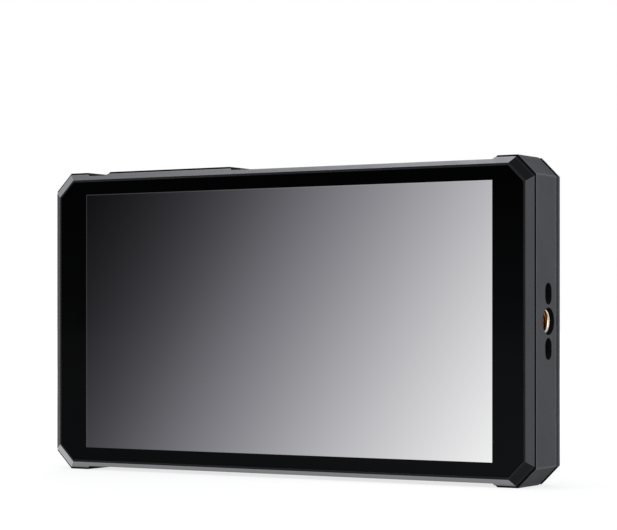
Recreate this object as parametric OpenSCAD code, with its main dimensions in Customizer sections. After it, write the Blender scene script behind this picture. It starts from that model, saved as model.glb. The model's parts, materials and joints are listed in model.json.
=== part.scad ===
// Camera field monitor: a 6 inch touch screen in a thin chamfered casing, with
// tripod threads on its right side and underneath, keys on a raised strip of the
// top edge, sockets on the left side and a battery plate on the back.
//
// Frame: +X is the viewer's right, +Y points away from the viewer, +Z is up.
// The origin is the mouth of the tripod thread in the bottom edge.

/* [Body] */
// Width over the sides
body_w = 156.5; // [155:0.5:160]
// Height over the corner bumpers
body_h = 87.6; // [87:0.1:89]
// Depth of the casing, from the glass to the back
body_d = 20; // [20:0.1:21]
// Distance from the glass to the axis of both tripod threads
axis_depth = 9.75; // [9.6:0.05:9.9]
// How far the long edges lie below the corner bumpers
edge_relief = 1; // [0.8:0.05:1.1]
// Leg of the corner cut of the casing
corner_cut = 5.2; // [5:0.1:5.6]
// Length of each corner bumper, from the corner cut to its ramp
bumper_len = 6; // [5:0.5:8]
// Length of the ramp beside each raised stretch of the edge
ramp_len = 1.1; // [0.9:0.1:1.5]
// Wall of the casing's sides
wall = 2; // [1.9:0.05:2.1]
// Depth of the front frame's bevel
bevel_d = 1.3; // [1.2:0.1:1.5]
// Width of the dark groove between the front frame and the middle frame
groove = 0.45; // [0.35:0.05:0.5]
// Width of the seam between the middle frame and the rear cover
seam = 0.5; // [0.4:0.05:0.6]

/* [Screen] */
// Width of the picture
picture_w = 132.8; // [131:0.1:133]
// Height of the picture
picture_h = 74.7; // [73:0.1:75]
// Sideways offset of the picture from the casing's centre
picture_x = -0.3; // [-0.4:0.1:0.4]
// Width of the cover glass
glass_w = 150.7; // [150:0.1:151]
// Height of the cover glass
glass_h = 81.8; // [81.4:0.1:81.9]
// Leg of the glass's corner cut
glass_cut = 4.45; // [4.2:0.05:4.8]
// Thickness of the cover glass
glass_t = 1.1; // [1:0.05:1.1]

/* [Tripod mounts] */
// Radius of the thread's bore: the major radius of a 1/4 inch thread
thread_r = 3.2; // [3.18:0.01:3.25]
// Radius of the hole in the casing over the brass insert
mouth_r = 3.65; // [3.4:0.05:3.8]
// How far the insert sits below the casing's face
insert_recess = 1.1; // [1:0.05:1.3]
// Length of the brass insert
insert_len = 6.4; // [6:0.1:6.6]
// Outer radius of the brass insert
insert_r = 4; // [3.9:0.05:4.1]
// Distance between the two anti-twist slots beside a thread
slot_pitch = 14.6; // [14.2:0.1:15]
// Length of an anti-twist slot
slot_len = 5.8; // [5.4:0.1:6]
// Width of an anti-twist slot
slot_w = 4; // [3.6:0.1:4]
// Depth of an anti-twist slot
slot_depth = 3.4; // [3:0.1:3.6]

/* [Keys] */
// Left end of the raised strip that holds the keys
strip_x0 = -58.9; // [-60:0.1:-58]
// Right end of the raised strip
strip_x1 = -17.1; // [-18:0.1:-16]
// Radius of the round power key
power_r = 3.3; // [3:0.1:3.5]
// Width of a function key
key_w = 9; // [8:0.1:9.5]
// Depth of a function key, from front to back
key_d = 4.2; // [4:0.1:4.6]
// How far a key stands out of the strip
key_proud = 0.25; // [0.1:0.05:0.3]
// Travel of a key
key_travel = 0.3; // [0.2:0.05:0.35]

/* [Battery plate] */
// Width of the battery plate
plate_w = 44; // [43.6:0.1:44.4]
// Height of the battery plate
plate_h = 75; // [74:0.5:75.5]
// Clear width between the plate's rails
bay_w = 38.8; // [38.6:0.1:39]
// Height of the rails above the casing's back
rail_h = 4.4; // [4.2:0.1:4.8]
// How far the latch stands out at rest
latch_proud = 2.15; // [2:0.05:2.2]
// Travel of the latch
latch_travel = 2.1; // [2:0.05:2.1]

/* [Vents] */
// Vent slots on each side of the battery plate
vent_count = 8; // [6:1:8]
// Distance between vent slots
vent_pitch = 4.6; // [4.4:0.1:4.8]

/* [Hidden] */
$fn = 48;
eps = 0.5;                     // how far a cutter runs past what it cuts
gap = 0.1;                     // assembly gap between moulded parts

// Half sizes of the casing, and the height of its centre above the origin
half_w = body_w / 2;
half_h = body_h / 2;
edge_h = half_h - edge_relief; // half height over the long edges
body_z = edge_h - insert_recess;

// Depths from front to back, along Y
y_glass = -axis_depth;         // face of the glass
y_back = y_glass + body_d;     // back of the casing
y_lip = y_glass + 0.35;        // face of the front frame
y_bevel = y_lip + bevel_d;     // end of the bevel
y_rim = y_bevel + groove;      // front edge of the middle frame
y_ledge = y_glass + glass_t + 0.3; // ledge that the glass is taped to
y_ledge_back = y_ledge + 1.15;
y_spigot = y_rim + 2.05;       // end of the frame's spigot inside the casing
y_seam = y_glass + 14.75;      // rear end of the middle frame
y_taper = y_back - 1.4;        // end of the tapered rear edge
y_inner = y_back - 1.95;       // inside of the back wall
y_sensor = y_glass + glass_t;
y_cell = y_sensor + 0.25;
y_light = y_cell + 1.2;
y_tray = y_light + 1.8;
y_tray_back = y_tray + 0.4;
y_chassis = y_tray_back;
y_chassis_back = y_chassis + 0.8;
y_board = y_chassis_back + 1.2;
y_board_back = y_board + 1.2;

// Front frame
bevel_in = [76, 41.6, 4.9];            // half width, half height and cut inside
bevel_out = [half_w - 0.22, half_h - 0.5, corner_cut + 0.1];
spigot_out = [half_w - 0.95, edge_h - 0.95, 4];
spigot_in = [half_w - 2, edge_h - 1.95, 4];
screen_open = [71, 39.6, 1];
boss_x = 73;
boss_z = 36.2;
tab_z = 24;

// Middle frame and rear cover
casing = [half_w, half_h, corner_cut];
cavity = [half_w - wall, edge_h - wall, 4];
seam_floor = [half_w - 0.6, edge_h - 0.6, 4];
cover_cut = 0.8;                       // how much less the cover's corners are cut
cover_out = casing - [0.2, 0.2, cover_cut + 0.06];
taper_out = casing - [0.7, 0.7, cover_cut - 0.1];
back_out = casing - [2.65, 2.65, 0.6];
tongue = 1.2;                          // how far the cover reaches into the middle frame
strip_ramp0 = strip_x0 - ramp_len;
strip_ramp1 = strip_x1 + ramp_len;
bumper_x = half_w - corner_cut - bumper_len - ramp_len;
recess_y = y_back - 1.5;               // floor of the battery plate's recess
recess_inner = recess_y - 2;           // inside of that floor
screw_r = 0.93;
head_r = 1.9;

// Boards
board = [-75.6, 60, -38.6, 32.4];      // left, right, bottom, top
block_w = 23.6;                        // width of the blocks behind the threads
block_y = 4.9;                         // half their depth
block_t = 8.4;                         // how far they reach in from the casing's face
pocket = insert_recess + insert_len + 0.1; // depth of the blind hole for an insert
video_in_z = 17.5;
video_out_z = -0.5;
data_z = -14.5;
dc_in_z = -26.5;
phones_z = 29;
phones_r = 1.8;
card_x = -36;
dc_out_x = 40;
socket_x = -half_w + 0.3;              // mouths of the side sockets
socket_bottom = -edge_h + 0.3;         // mouths of the bottom sockets
video_y = y_board_back + 2.8;
data_y = y_board_back + 1.65;
dc_y = y_board_back + 3.1;
phones_y = y_board_back + 2.5;
card_y = [y_board_back, y_board_back + 2.9];
processor = [34, 6, 14];               // x, z and side of the processor

// Keys
strip_z = half_h;                      // outer face of the strip
key_z = edge_h - wall - gap;            // top of a key's flange
switch_top = key_z - 1.8;              // top of a switch's plunger
switch_body = switch_top - 0.9;
key_board_z = switch_body - 3.1;
key_board_t = 1;
post_x = [strip_x0 - 2.1, strip_x1 + 1.7]; // posts that carry the key board
led_x = -55;
power_x = -48.3;
f1_x = -36.4;
f2_x = -24;

// Battery plate
plate_y = [recess_y, y_back + 0.6];    // base of the plate
rail_y = y_back + rail_h;
latch_z = 28;
latch_size = [14, 7.4];
well = [18, 11.4];                     // pocket behind the latch
well_floor = y_chassis_back + 6.6;
terminal_z = -plate_h / 2 + 6.3;
plate_screw_x = 12.5;
plate_screw_z = 32.8;

// ---- Helpers: x is absolute, z is measured from the casing's centre ----

module slab(y) translate([0, y[1], body_z]) rotate([90, 0, 0])
    linear_extrude(y[1] - y[0]) children();
module block(x, y, z) translate([x[0], y[0], body_z + z[0]])
    cube([x[1] - x[0], y[1] - y[0], z[1] - z[0]]);
module rod_y(x, z, r, y) translate([x, y[0], body_z + z]) rotate([-90, 0, 0])
    cylinder(r = r, h = y[1] - y[0]);
module rod_z(x, y, r, z) translate([x, y, body_z + z[0]])
    cylinder(r = r, h = z[1] - z[0]);
module rod_x(y, z, r, x) translate([x[0], y, body_z + z]) rotate([0, 90, 0])
    cylinder(r = r, h = x[1] - x[0]);
// A side view's outline, x as depth and y as height, pushed out along X
module bar_x(x) translate([x[0], 0, body_z]) rotate([90, 0, 90])
    linear_extrude(x[1] - x[0]) children();
// A plan view's outline pushed up along Z
module bar_z(z) translate([0, 0, body_z + z[0]]) linear_extrude(z[1] - z[0]) children();

function octagon_points(s) = [
    [s[0] - s[2], s[1]], [s[0], s[1] - s[2]], [s[0], -s[1] + s[2]], [s[0] - s[2], -s[1]],
    [-s[0] + s[2], -s[1]], [-s[0], -s[1] + s[2]], [-s[0], s[1] - s[2]], [-s[0] + s[2], s[1]]
];
module octagon(s) polygon(octagon_points(s));
module plate(s, y) slab(y) octagon(s);

// A solid whose octagonal outline changes from depth to depth
module octagon_loft(depths, sizes) {
    n = len(depths);
    points = [for (i = [0:n - 1]) for (p = octagon_points(sizes[i]))
        [p[0], depths[i], body_z + p[1]]];
    sides = [for (i = [0:n - 2]) for (k = [0:7])
        [i * 8 + k, (i + 1) * 8 + k, (i + 1) * 8 + (k + 1) % 8, i * 8 + (k + 1) % 8]];
    polyhedron(points, concat([[for (k = [0:7]) k]], sides,
        [[for (k = [7:-1:0]) (n - 1) * 8 + k]]), convexity = 4);
}

module stadium(length, width) {
    for (s = [-1, 1]) translate([0, s * (length - width) / 2]) circle(d = width);
    square([width, length - width], center = true);
}
module rounded(w, h, r) {
    for (x = [-1, 1]) for (y = [-1, 1])
        translate([x * (w / 2 - r), y * (h / 2 - r)]) circle(r);
    square([w - 2 * r, h], center = true);
    square([w, h - 2 * r], center = true);
}

// What is cut off the long edges between the raised stretches
module relief(x0, x1, side) {
    over = 2;
    run = ramp_len * over / edge_relief;
    slab([y_glass - 1, y_back + 1]) polygon([
        [x0, side * edge_h], [x1, side * edge_h],
        [x1 + run, side * (edge_h + over)], [x0 - run, side * (edge_h + over)]
    ]);
}
module edge_reliefs() {
    relief(-bumper_x, strip_ramp0, 1);
    relief(strip_ramp1, bumper_x, 1);
    relief(-bumper_x, bumper_x, -1);
}

// A pan-head screw along +Y whose head's outer face is at y_head
module screw(x, z, y_head, length, head_h = 1.1) {
    difference() {
        union() {
            rod_y(x, z, head_r, [y_head - head_h, y_head]);
            rod_y(x, z, screw_r, [y_head - head_h - length, y_head - head_h]);
        }
        for (a = [0, 90]) translate([x, y_head, body_z + z]) rotate([0, a, 0])
            cube([2.2, 1.2, 0.5], center = true);
    }
}

// ---- Front: frame, glass and display ----

module front_frame() color([0.24, 0.24, 0.25]) difference() {
    union() {
        difference() {
            octagon_loft([y_lip, y_bevel], [bevel_in, bevel_out]);
            edge_reliefs();
            plate([glass_w / 2 + 0.07, glass_h / 2 + 0.07, glass_cut], [y_lip - eps, y_ledge]);
            plate(screen_open, [y_ledge - eps, y_bevel + eps]);
        }
        difference() {
            plate(spigot_out, [y_bevel, y_spigot]);
            plate(screen_open, [y_bevel - eps, y_ledge_back + eps]);
            plate(spigot_in, [y_ledge_back, y_spigot + eps]);
        }
        for (x = [-1, 1]) for (z = [-1, 1]) {
            rod_y(x * boss_x, z * boss_z, 2.5, [y_ledge_back - gap, y_board + 1.9]);
            rod_y(x * boss_x, z * tab_z, 2.1, [y_ledge_back - gap, y_chassis]);
        }
    }
    for (x = [-1, 1]) for (z = [-1, 1]) {
        rod_y(x * boss_x, z * boss_z, 0.95, [y_chassis - 0.5, y_board + 3]);
        rod_y(x * boss_x, z * tab_z, 0.95, [y_ledge_back, y_chassis + eps]);
    }
}

module cover_glass() color([0.02, 0.02, 0.02])
    plate([glass_w / 2, glass_h / 2, glass_cut], [y_glass, y_glass + glass_t]);

module glass_adhesive() color([0.1, 0.1, 0.1]) difference() {
    plate([glass_w / 2 - 0.4, glass_h / 2 - 0.25, glass_cut], [y_glass + glass_t, y_ledge]);
    plate([71.2, 39.75, 1], [y_glass, y_ledge + eps]);
}

module touch_sensor() color([0.2, 0.22, 0.24]) translate([picture_x, 0, 0])
    plate([69.9, 39.2, 0.5], [y_sensor, y_cell]);

module lcd_cell() color([0.35, 0.36, 0.38]) translate([picture_x, 0, 0])
    plate([69.6, 38.9, 0.3], [y_cell, y_light]);

module backlight() color([0.9, 0.9, 0.92]) translate([picture_x, 0, 0]) difference() {
    plate([69.3, 38.6, 0.3], [y_light, y_tray]);
    block([-62, 62], [y_light + 0.4, y_tray + eps], [-38.6 - eps, -37]);
}

module backlight_leds() color([0.95, 0.9, 0.55]) translate([picture_x, 0, 0])
    for (i = [-11:11]) block([i * 5.4 - 1.5, i * 5.4 + 1.5], [y_light + 0.6, y_tray], [-38.5, -37.2]);

module panel_tray() color([0.75, 0.76, 0.78]) translate([picture_x, 0, 0]) difference() {
    plate([69.7, 39.1, 0.4], [y_light, y_tray_back]);
    plate([69.4, 38.7, 0.3], [y_light - eps, y_tray]);
}

module chassis_plate() color([0.7, 0.71, 0.73]) difference() {
    union() {
        plate([68.6, 38.2, 4], [y_chassis, y_chassis_back]);
        for (x = [-1, 1]) for (z = [-1, 1])
            block([x * boss_x - 2.6, x * boss_x + 2.6] - (x > 0 ? [6, 0] : [0, -6]),
                [y_chassis, y_chassis_back], [z * tab_z - 3, z * tab_z + 3]);
        for (p = board_screw_places) rod_y(p[0], p[1], 2.2, [y_chassis_back - gap, y_board]);
    }
    for (x = [-1, 1]) for (z = [-1, 1])
        rod_y(x * boss_x, z * tab_z, 1.15, [y_chassis - eps, y_chassis_back + eps]);
    for (p = board_screw_places) rod_y(p[0], p[1], 0.95, [y_chassis - eps, y_board + eps]);
    block([-13, 13], [y_chassis - eps, y_chassis_back + eps], [-40, -33]);
    block([60, 80], [y_chassis - eps, y_chassis_back + eps], [-12.6, 12.6]);
}
board_screw_places = [[-57, 28.5], [54, 28.5], [54, -34.5], [-18, -34.5], [-4, 28.5]];

module chassis_screws() color([0.6, 0.6, 0.62])
    for (x = [-1, 1]) for (z = [-1, 1])
        screw(x * boss_x, z * tab_z, y_chassis_back + 0.9, 2, 0.9);

// A flat cable folded round the lower edge of the display, from the panel to the board
module folded_flex(x, y_start, z_start, z_fold, t) bar_x(x) polygon([
    [y_start, z_start], [y_start, z_fold], [y_board - 0.75, z_fold],
    [y_board - 0.75, z_start + 1.2], [y_board - 0.75 - t, z_start + 1.2],
    [y_board - 0.75 - t, z_fold + t], [y_start + t, z_fold + t], [y_start + t, z_start]
]);
module display_flex() color([0.85, 0.55, 0.2])
    folded_flex([18, 42], y_cell + 0.5, -38.9, -39.5, 0.15);
module touch_flex() color([0.8, 0.5, 0.2])
    folded_flex([46, 52], y_sensor + 0.08, -39.2, -39.55, 0.12);

module flex_connectors() color([0.9, 0.88, 0.8]) {
    block([17, 43], [y_board - 0.75, y_board], [-38.2, -34.6]);
    block([45.5, 52.5], [y_board - 0.75, y_board], [-38.4, -36.9]);
}

// ---- Main board and what sits on it ----

module main_board() color([0.05, 0.3, 0.16]) difference() {
    slab([y_board, y_board_back]) difference() {
        polygon([
            [board[0], board[3]], [board[1], board[3]], [board[1], board[2]],
            [-67.4, board[2]], [-67.4, -32], [board[0], -32]
        ]);
        translate([0, board[2]]) square([block_w + 3, 14], center = true);
    }
    for (p = board_screw_places) rod_y(p[0], p[1], 1.1, [y_board - eps, y_board_back + eps]);
}

module video_processor() color([0.08, 0.08, 0.09])
    block([processor[0] - 7, processor[0] + 7], [y_board_back, y_board_back + 1.4],
        [processor[1] - 7, processor[1] + 7]);

module thermal_pad() color([0.5, 0.6, 0.7])
    block([processor[0] - 7, processor[0] + 7], [y_board_back + 1.4, y_board_back + 1.9],
        [processor[1] - 7, processor[1] + 7]);

module heat_sink() color([0.72, 0.73, 0.75]) {
    base = y_board_back + 1.9;
    block([processor[0] - 5.5, processor[0] + 22], [base, base + 1.4],
        [processor[1] - 17, processor[1] + 17]);
    for (i = [0:7]) block([processor[0] - 5.5 + i * 3.8, processor[0] - 4.6 + i * 3.8],
        [base + 1.3, y_inner - 0.7], [processor[1] - 17, processor[1] + 17]);
}

module board_components() color([0.3, 0.3, 0.32]) {
    for (p = [[-48, 20], [-48, 6], [-34, -8], [12, 22], [2, 8]])
        block([p[0] - 3, p[0] + 3], [y_board_back, y_board_back + 2.6], [p[1] - 3, p[1] + 3]);
    for (p = [[-38, 19], [-30, 26], [22, -14], [-12, -20], [14, -24]])
        rod_y(p[0], p[1], 2.5, [y_board_back, y_board_back + 4]);
    block([-30, -20], [y_board_back, y_board_back + 1.1], [4, 14]);
    for (i = [0:7]) block([-8 + i * 3, -6.4 + i * 3], [y_board_back, y_board_back + 0.8], [-8, -5]);
}

module board_screws() color([0.6, 0.6, 0.62])
    for (p = board_screw_places) screw(p[0], p[1], y_board_back + 1.1, 2.9);

// A picture socket: an open metal shell with one narrower side, mouth to the left
module video_outline(grow) {
    w = 7.5 + grow;
    d = 2.8 + grow;
    polygon([[d, w], [d, -w], [-d + 1.7, -w], [-d, -w + 1.7], [-d, w - 1.7], [-d + 1.7, w]]);
}
module video_shell(z) color([0.8, 0.8, 0.82]) translate([0, video_y, z]) difference() {
    bar_x([socket_x, socket_x + 12.2]) video_outline(0);
    bar_x([socket_x - eps, socket_x + 11.7]) video_outline(-0.4);
}
module video_tongue(z) color([0.06, 0.06, 0.06]) translate([0, video_y, z]) {
    block([socket_x + 1.4, socket_x + 9], [-0.25, 1], [-6, 6]);
    bar_x([socket_x + 9, socket_x + 11.7]) video_outline(-0.45);
}
module video_in_shell() video_shell(video_in_z);
module video_in_tongue() video_tongue(video_in_z);
module video_out_shell() video_shell(video_out_z);
module video_out_tongue() video_tongue(video_out_z);

module data_port_shell() color([0.8, 0.8, 0.82]) translate([0, data_y, data_z]) difference() {
    bar_x([socket_x, socket_x + 7.6]) stadium(9, 3.3);
    bar_x([socket_x - eps, socket_x + 7.2]) stadium(8.4, 2.7);
}
module data_port_tongue() color([0.06, 0.06, 0.06]) translate([0, data_y, data_z]) {
    block([socket_x + 0.9, socket_x + 6], [-0.35, 0.35], [-3.3, 3.3]);
    bar_x([socket_x + 6, socket_x + 7.2]) stadium(8.3, 2.6);
}

module headphone_jack() color([0.08, 0.08, 0.08]) difference() {
    union() {
        block([-75.4, -62], [y_board_back, phones_y + 2.6], [phones_z - 3, phones_z + 3]);
        rod_x(phones_y, phones_z, 2.4, [socket_x, -75]);
    }
    rod_x(phones_y, phones_z, phones_r, [socket_x - eps, socket_x + 14.5]);
}

// A barrel jack: its body has a round hole with a pin standing in the middle
module dc_in_jack() color([0.08, 0.08, 0.08]) difference() {
    block([socket_x + 0.2, -64], [y_board_back, dc_y + 3.1], [dc_in_z - 4.4, dc_in_z + 4.4]);
    rod_x(dc_y, dc_in_z, 2.6, [socket_x - eps, -67]);
}
module dc_in_pin() color([0.85, 0.83, 0.75])
    rod_x(dc_y, dc_in_z, 1, [socket_x + 1.2, -67]);

module dc_out_jack() color([0.08, 0.08, 0.08]) difference() {
    block([dc_out_x - 4.4, dc_out_x + 4.4], [y_board_back, dc_y + 3.1], [socket_bottom + 0.2, -28.5]);
    rod_z(dc_out_x, dc_y, 2.6, [socket_bottom - eps, -31.5]);
}
module dc_out_pin() color([0.85, 0.83, 0.75])
    rod_z(dc_out_x, dc_y, 1, [socket_bottom + 1.2, -31.5]);

// The card socket's sheet-metal cover over its plastic base, mouth downwards
module card_socket_cover() color([0.78, 0.78, 0.8]) difference() {
    block([card_x - 14, card_x + 14], [card_y[0] + 0.45, card_y[1]], [socket_bottom, -17]);
    block([card_x - 13.7, card_x + 13.7], [card_y[0], card_y[1] - 0.3], [socket_bottom - eps, -17.3]);
}
module card_socket_base() color([0.1, 0.1, 0.1]) {
    block([card_x - 14, card_x + 14], card_y - [0, 2.45], [socket_bottom, -17]);
    block([card_x - 13.7, card_x + 13.7], [card_y[0] + 0.45, card_y[1] - 0.3], [-20, -17.3]);
}

// ---- Casing ----

// The solid blocks inside the casing that hold the threads
module thread_blocks() {
    block([-block_w / 2, block_w / 2], [-block_y, block_y],
        [-edge_h + wall - gap, -edge_h + block_t]);
    block([half_w - block_t, half_w - wall + gap], [-block_y, block_y],
        [-block_w / 2, block_w / 2]);
}
module thread_cuts() {
    rod_z(0, 0, mouth_r, [-edge_h - eps, -edge_h + insert_recess + eps]);
    rod_z(0, 0, insert_r + 0.02, [-edge_h + insert_recess, -edge_h + pocket]);
    rod_x(0, 0, mouth_r, [half_w - insert_recess - eps, half_w + eps]);
    rod_x(0, 0, insert_r + 0.02, [half_w - pocket, half_w - insert_recess]);
    for (s = [-1, 1]) {
        bar_z([-edge_h - eps, -edge_h + slot_depth]) translate([s * slot_pitch / 2, 0])
            rotate(90) stadium(slot_len, slot_w);
        bar_x([half_w - slot_depth, half_w + eps]) translate([0, s * slot_pitch / 2])
            stadium(slot_len, slot_w);
    }
}

module port_cuts() {
    for (z = [video_in_z, video_out_z]) translate([0, video_y, z])
        bar_x([-half_w - eps, -half_w + 4]) video_outline(0.15);
    translate([0, data_y, data_z]) bar_x([-half_w - eps, -half_w + 4]) stadium(9.3, 3.6);
    rod_x(phones_y, phones_z, 2.55, [-half_w - eps, -half_w + 4]);
    block([-half_w - eps, -half_w + 4], [y_board_back - gap, dc_y + 3.2],
        [dc_in_z - 4.5, dc_in_z + 4.5]);
    block([dc_out_x - 4.5, dc_out_x + 4.5], [y_board_back - gap, dc_y + 3.2],
        [-edge_h - eps, -edge_h + 4]);
    block([card_x - 14.15, card_x + 14.15], [card_y[0] - 0.15, card_y[1] + 0.15],
        [-edge_h - eps, -edge_h + 4]);
}

module key_cuts() {
    z = [cavity[1] - 1, strip_z + eps];
    rod_z(led_x, 0, 1.05, z);
    rod_z(power_x, 0, power_r + 0.15, z);
    for (x = [f1_x, f2_x]) bar_z(z) translate([x, 0])
        rounded(key_w + 0.3, key_d + 0.3, 1.1);
}

module vent_slots() {
    for (side = [-1, 1]) for (i = [0:vent_count - 1])
        slab([y_inner - 2, y_back + eps]) translate([side * (29 + i * vent_pitch), 8])
            stadium(30, 2);
}

// The ring that carries the threads, the keys and the sockets
module middle_frame() color([0.27, 0.27, 0.29]) difference() {
    union() {
        difference() {
            plate(casing, [y_rim, y_seam]);
            edge_reliefs();
            plate(spigot_out + [0.1, 0.1, 0], [y_rim - eps, y_spigot + 0.1]);
            plate(cavity, [y_spigot, y_seam + eps]);
        }
        thread_blocks();
        for (x = post_x) rod_z(x, 0, 2, [key_board_z, cavity[1] + gap]);
    }
    for (x = post_x) rod_z(x, 0, 0.95, [key_board_z - eps, key_board_z + 5]);
    thread_cuts();
    port_cuts();
    key_cuts();
}

// The low rim of the rear cover that reaches into the middle frame
module cover_tongue() difference() {
    plate(cavity - [gap, gap, 0], [y_seam - tongue, y_seam + gap]);
    plate(cavity - [1.3, 1.3, 0.4], [y_seam - tongue - eps, y_seam + 1]);
    y = [y_seam - tongue - eps, y_seam];
    block([-half_w, -half_w + 5], y, [-34, 33]);
    block([half_w - 10, half_w], y, [-block_w / 2 - 0.3, block_w / 2 + 0.3]);
    block([-block_w / 2 - 0.3, block_w / 2 + 0.3], y, [-half_h, -half_h + 10]);
    block([dc_out_x - 5, dc_out_x + 5], y, [-half_h, -half_h + 10]);
    block([post_x[0] - 3, post_x[1] + 3], y, [half_h - 6, half_h]);
}

module cover_shell() difference() {
    union() {
        plate(seam_floor, [y_seam, y_seam + seam + gap]);
        octagon_loft([y_seam + seam, y_taper, y_back], [cover_out, taper_out, back_out]);
    }
    edge_reliefs();
    octagon_loft([y_seam - eps, y_inner], [cavity + [0.15, 0.15, 0.03], cavity - [1, 1, 0.2]]);
    // Half-round pry notch in the seam beside the side thread
    rod_x(y_seam - 2.2, 0, 3.3, [half_w - 0.7, half_w + 1]);
}

module rear_cover() color([0.25, 0.25, 0.27]) difference() {
    union() {
        cover_shell();
        cover_tongue();
        // Thick floor behind the battery plate, and the walls of the latch's well
        block([-plate_w / 2 - 2, plate_w / 2 + 2], [recess_inner, y_inner + gap],
            [-plate_h / 2 - 1.2, plate_h / 2 + 1.2]);
        block([-well[0] / 2 - 1.2, well[0] / 2 + 1.2], [well_floor - 1.2, recess_inner + gap],
            [latch_z - well[1] / 2 - 1.2, latch_z + well[1] / 2 + 1.2]);
        for (x = [-1, 1]) for (z = [-1, 1])
            rod_y(x * boss_x, z * boss_z, 2.6, [y_board + 1.9, y_inner + gap]);
        for (x = [-plate_screw_x, plate_screw_x]) for (z = [-plate_screw_z, plate_screw_z])
            rod_y(x, z, 2.2, [recess_y - 3.8, recess_inner + gap]);
    }
    // Recess for the battery plate
    block([-plate_w / 2 - gap, plate_w / 2 + gap], [recess_y, y_back + eps],
        [-plate_h / 2 - gap, plate_h / 2 + gap]);
    block([-well[0] / 2, well[0] / 2], [well_floor, recess_y + eps],
        [latch_z - well[1] / 2, latch_z + well[1] / 2]);
    // Way through for the battery leads
    block([-5, 5], [recess_inner - eps, recess_y + eps], [terminal_z - 2, terminal_z + 1]);
    for (x = [-1, 1]) for (z = [-1, 1]) {
        rod_y(x * boss_x, z * boss_z, 1.1, [y_board, y_back + eps]);
        rod_y(x * boss_x, z * boss_z, 2.2, [y_back - 1.6, y_back + eps]);
    }
    for (x = [-plate_screw_x, plate_screw_x]) for (z = [-plate_screw_z, plate_screw_z])
        rod_y(x, z, 0.95, [recess_y - 3.2, recess_y + eps]);
    vent_slots();
}

// A brass insert: a plain bore at the thread's major radius, and a groove outside
module thread_insert() difference() {
    cylinder(r = insert_r, h = insert_len);
    translate([0, 0, -eps]) cylinder(r = thread_r, h = insert_len + 2 * eps);
    translate([0, 0, insert_len / 2 - 0.5]) difference() {
        cylinder(r = insert_r + 1, h = 1);
        translate([0, 0, -eps]) cylinder(r = insert_r - 0.3, h = 2);
    }
}
module bottom_thread_insert() color([0.78, 0.6, 0.3]) thread_insert();
module side_thread_insert() color([0.78, 0.6, 0.3])
    translate([half_w - insert_recess, 0, body_z]) rotate([0, -90, 0]) thread_insert();

module cover_screws() color([0.12, 0.12, 0.12])
    for (x = [-1, 1]) for (z = [-1, 1])
        screw(x * boss_x, z * boss_z, y_back - 0.45, 13, 1.15);

// ---- Keys ----

module key_board() color([0.05, 0.3, 0.16]) difference() {
    block(post_x + [-2.2, 2.2], [-4, 4], [key_board_z - key_board_t, key_board_z]);
    for (x = post_x)
        rod_z(x, 0, 1.1, [key_board_z - 2, key_board_z + 1]);
}
module key_board_screws() color([0.6, 0.6, 0.62]) for (x = post_x) {
    rod_z(x, 0, 1.7, [key_board_z - key_board_t - 1, key_board_z - key_board_t]);
    rod_z(x, 0, screw_r, [key_board_z - key_board_t, key_board_z + 4]);
}

module key_switch(x) color([0.7, 0.7, 0.72]) difference() {
    block([x - 3, x + 3], [-3, 3], [key_board_z, switch_body]);
    rod_z(x, 0, 1.8, [switch_body - 1.5, switch_body + eps]);
}
module key_plunger(x) color([0.1, 0.1, 0.1])
    rod_z(x, 0, 1.7, [switch_body - 1, switch_top]);
module power_switch() key_switch(power_x);
module f1_switch() key_switch(f1_x);
module f2_switch() key_switch(f2_x);
module power_plunger() key_plunger(power_x);
module f1_plunger() key_plunger(f1_x);
module f2_plunger() key_plunger(f2_x);

module power_key() color([0.1, 0.1, 0.11]) {
    rod_z(power_x, 0, power_r, [key_z - gap, strip_z + key_proud]);
    rod_z(power_x, 0, power_r + 0.9, [key_z - 1, key_z]);
    rod_z(power_x, 0, 1.5, [switch_top, key_z - 1 + gap]);
}
module function_key(x) color([0.1, 0.1, 0.11]) {
    bar_z([key_z - gap, strip_z + key_proud]) translate([x, 0]) rounded(key_w, key_d, 1);
    bar_z([key_z - 1, key_z]) translate([x, 0]) rounded(key_w + 1.6, key_d + 1.6, 1);
    rod_z(x, 0, 1.5, [switch_top, key_z - 1 + gap]);
}
module f1_key() function_key(f1_x);
module f2_key() function_key(f2_x);

module status_light_pipe() color([0.85, 0.9, 0.9]) {
    rod_z(led_x, 0, 1, [key_z, strip_z]);
    rod_z(led_x, 0, 1.5, [key_board_z + 1, key_z]);
}
module status_led() color([0.95, 0.95, 0.8])
    block([led_x - 0.8, led_x + 0.8], [-0.6, 0.6], [key_board_z, key_board_z + 0.9]);

// The flat cable from the key board down to the main board
module key_cable() color([0.9, 0.9, 0.88]) bar_x([-46, -38]) polygon([
    [4, key_board_z - 0.5], [4.6, key_board_z - 0.5], [4.6, 27.4], [y_board_back, 27.4],
    [y_board_back, 27], [5, 27], [5, key_board_z - 0.1], [4, key_board_z - 0.1]
]);

// ---- Battery plate ----

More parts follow.
